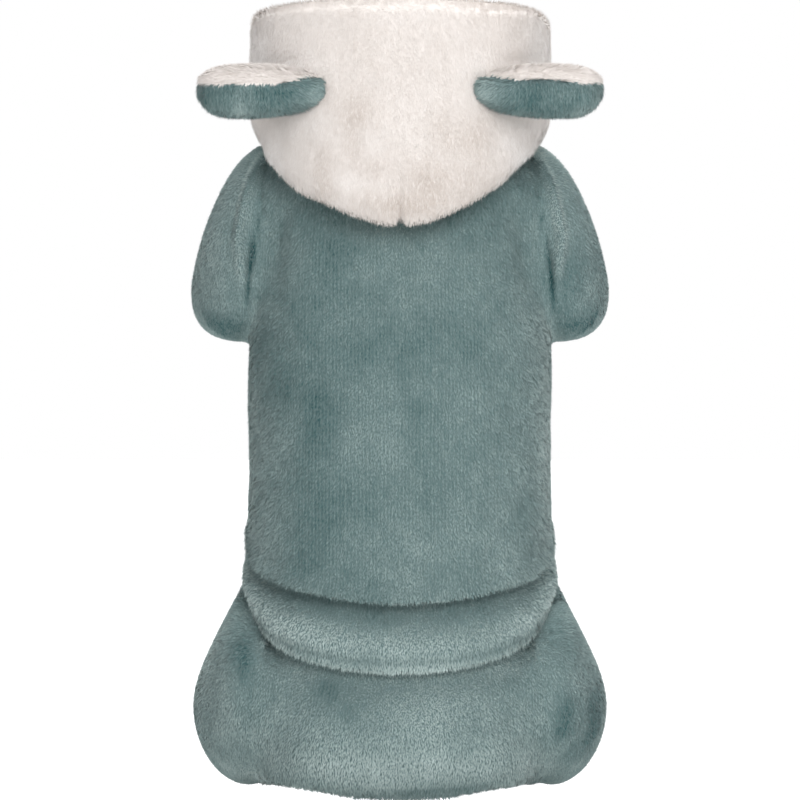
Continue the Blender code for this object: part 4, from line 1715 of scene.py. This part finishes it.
plans = [
    (name, cloth, TEAL_PILE, BELLY_PILE if name == "belly_panel" else BACK_PILE)
    for name, cloth in BODY.items()
]
plans += [(name, cloth, TEAL_PILE, LEG_PILE) for name, cloth in LEGS.items()]
plans += [(name, cloth, CREAM_PILE, HOOD_PILE) for name, cloth in HOOD.items()]
for side_name, cloth in EARS.items():
    for half, plush_cloth, lift in EAR_HALVES:
        plans.append((f"ear_{side_name}_{half}", cloth, plush_cloth, {**EAR_PILE, "lift": lift}))

PILES = {}
FIRST_SEED = 6
for seed, (node_name, cloth, plush_cloth, sizes) in enumerate(plans, FIRST_SEED):
    name = f"{node_name}_pile"
    PILES[node_name] = grow_pile(cloth, name, plush_cloth, seed=seed, **sizes)
print("pile blades:", {name: len(pile.data.polygons) for name, pile in PILES.items()})

# %% [markdown]
# ## Hand the pieces to the frame
# Every piece stands for a node of the plain model and rides on its body.


def dress(piece, slot_name, *nodes):
    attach(piece, "root")
    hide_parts(*nodes)


for node_name, cloth in {**BODY, **LEGS, **HOOD}.items():
    pile = PILES[node_name]
    slot_name = "cream_plush" if node_name in HOOD else "teal_plush"
    for piece in (cloth, pile):
        dress(piece, slot_name, node_name)
for side_name, cloth in EARS.items():
    halves = [f"ear_{side_name}_{half}" for half in ("top", "under")]
    dress(cloth, "teal_plush", *halves)
    for node_name, slot_name in zip(halves, ("cream_plush", "teal_plush")):
        dress(PILES[node_name], slot_name, node_name)

# %% [markdown]
# ## Studio, light and camera
# A wide pale floor, white air, soft lights and a long lens, as for a catalogue.

# %% Floor
FLOOR_HEIGHT = CAD_BOX[0][2] - 12 * MM
FLOOR_HALF_SIZE = 60.0
FLOOR_BOUNCE, FLOOR_SEEN = 0.9, 0.95
FLOOR_GLOW = 0.6
FLOOR_ROUGHNESS = 0.9


def studio():
    """A floor that looks pale to the camera, and is a little darker to other rays."""
    surface = bmesh.new()
    half = FLOOR_HALF_SIZE
    corners = ((-half, -half), (half, -half), (half, half), (-half, half))
    surface.faces.new([surface.verts.new((x, y, FLOOR_HEIGHT)) for x, y in corners])
    floor = new_piece("studio_floor", surface, ())
    paint = bpy.data.materials.new("studio white")
    paint.use_nodes = True
    shader = paint.node_tree.nodes["Principled BSDF"]
    shader.inputs["Roughness"].default_value = FLOOR_ROUGHNESS
    shader.inputs["Emission Color"].default_value = (1, 1, 1, 1)
    rays = node(paint.node_tree, "ShaderNodeLightPath")
    for label, low, high in (
        ("Base Color", FLOOR_BOUNCE, FLOOR_SEEN),
        ("Emission Strength", 0.0, FLOOR_GLOW),
    ):
        seen = node(paint.node_tree, "ShaderNodeMapRange")
        seen.inputs["To Min"].default_value = low
        seen.inputs["To Max"].default_value = high
        paint.node_tree.links.new(rays.outputs["Is Camera Ray"], seen.inputs["Value"])
        paint.node_tree.links.new(seen.outputs["Result"], shader.inputs[label])
    floor.data.materials.append(paint)


studio()

# %% Lights
AIR_LIGHT = 0.82
MIDDLE = (0.0, 0.0, -0.125)

# Columns: name, place (m), width (m), watts
LIGHTS = (
    ("key", (0.5, -1.75, 0.9), 1.2, 20),
    ("top", (0.1, -0.3, 1.6), 0.8, 5),
)


def soft_light(name, place, size, watts):
    light = bpy.data.lights.new(name, "AREA")
    light.shape = "DISK"
    light.size = size
    light.energy = watts
    lamp = bpy.data.objects.new(name, light)
    bpy.context.scene.collection.objects.link(lamp)
    lamp.location = place
    lamp.rotation_euler = (Vector(MIDDLE) - Vector(place)).to_track_quat("-Z", "Y").to_euler()


for light_row in LIGHTS:
    soft_light(*light_row)
world = bpy.data.worlds.new("studio air")
bpy.context.scene.world = world
world.use_nodes = True
air = world.node_tree
rays = node(air, "ShaderNodeLightPath")
strength = node(air, "ShaderNodeMapRange")
strength.inputs["To Min"].default_value = AIR_LIGHT
strength.inputs["To Max"].default_value = 1.0
air.links.new(rays.outputs["Is Camera Ray"], strength.inputs["Value"])
air.nodes["Background"].inputs["Color"].default_value = (1, 1, 1, 1)
air.links.new(strength.outputs["Result"], air.nodes["Background"].inputs["Strength"])
bpy.context.scene.view_settings.view_transform = "Standard"

# %% Camera
CAMERA_DISTANCE = 10.0
VIEW_WIDTH = 0.4
SENSOR = 36
camera_data = bpy.data.cameras.new("camera")
camera_data.sensor_width = SENSOR
camera_data.lens = SENSOR * CAMERA_DISTANCE / VIEW_WIDTH
camera = bpy.data.objects.new("camera", camera_data)
bpy.context.scene.collection.objects.link(camera)
camera.location = (0.0, -CAMERA_DISTANCE, MIDDLE[2])
camera.rotation_euler = (math.radians(90), 0.0, 0.0)
bpy.context.scene.camera = camera
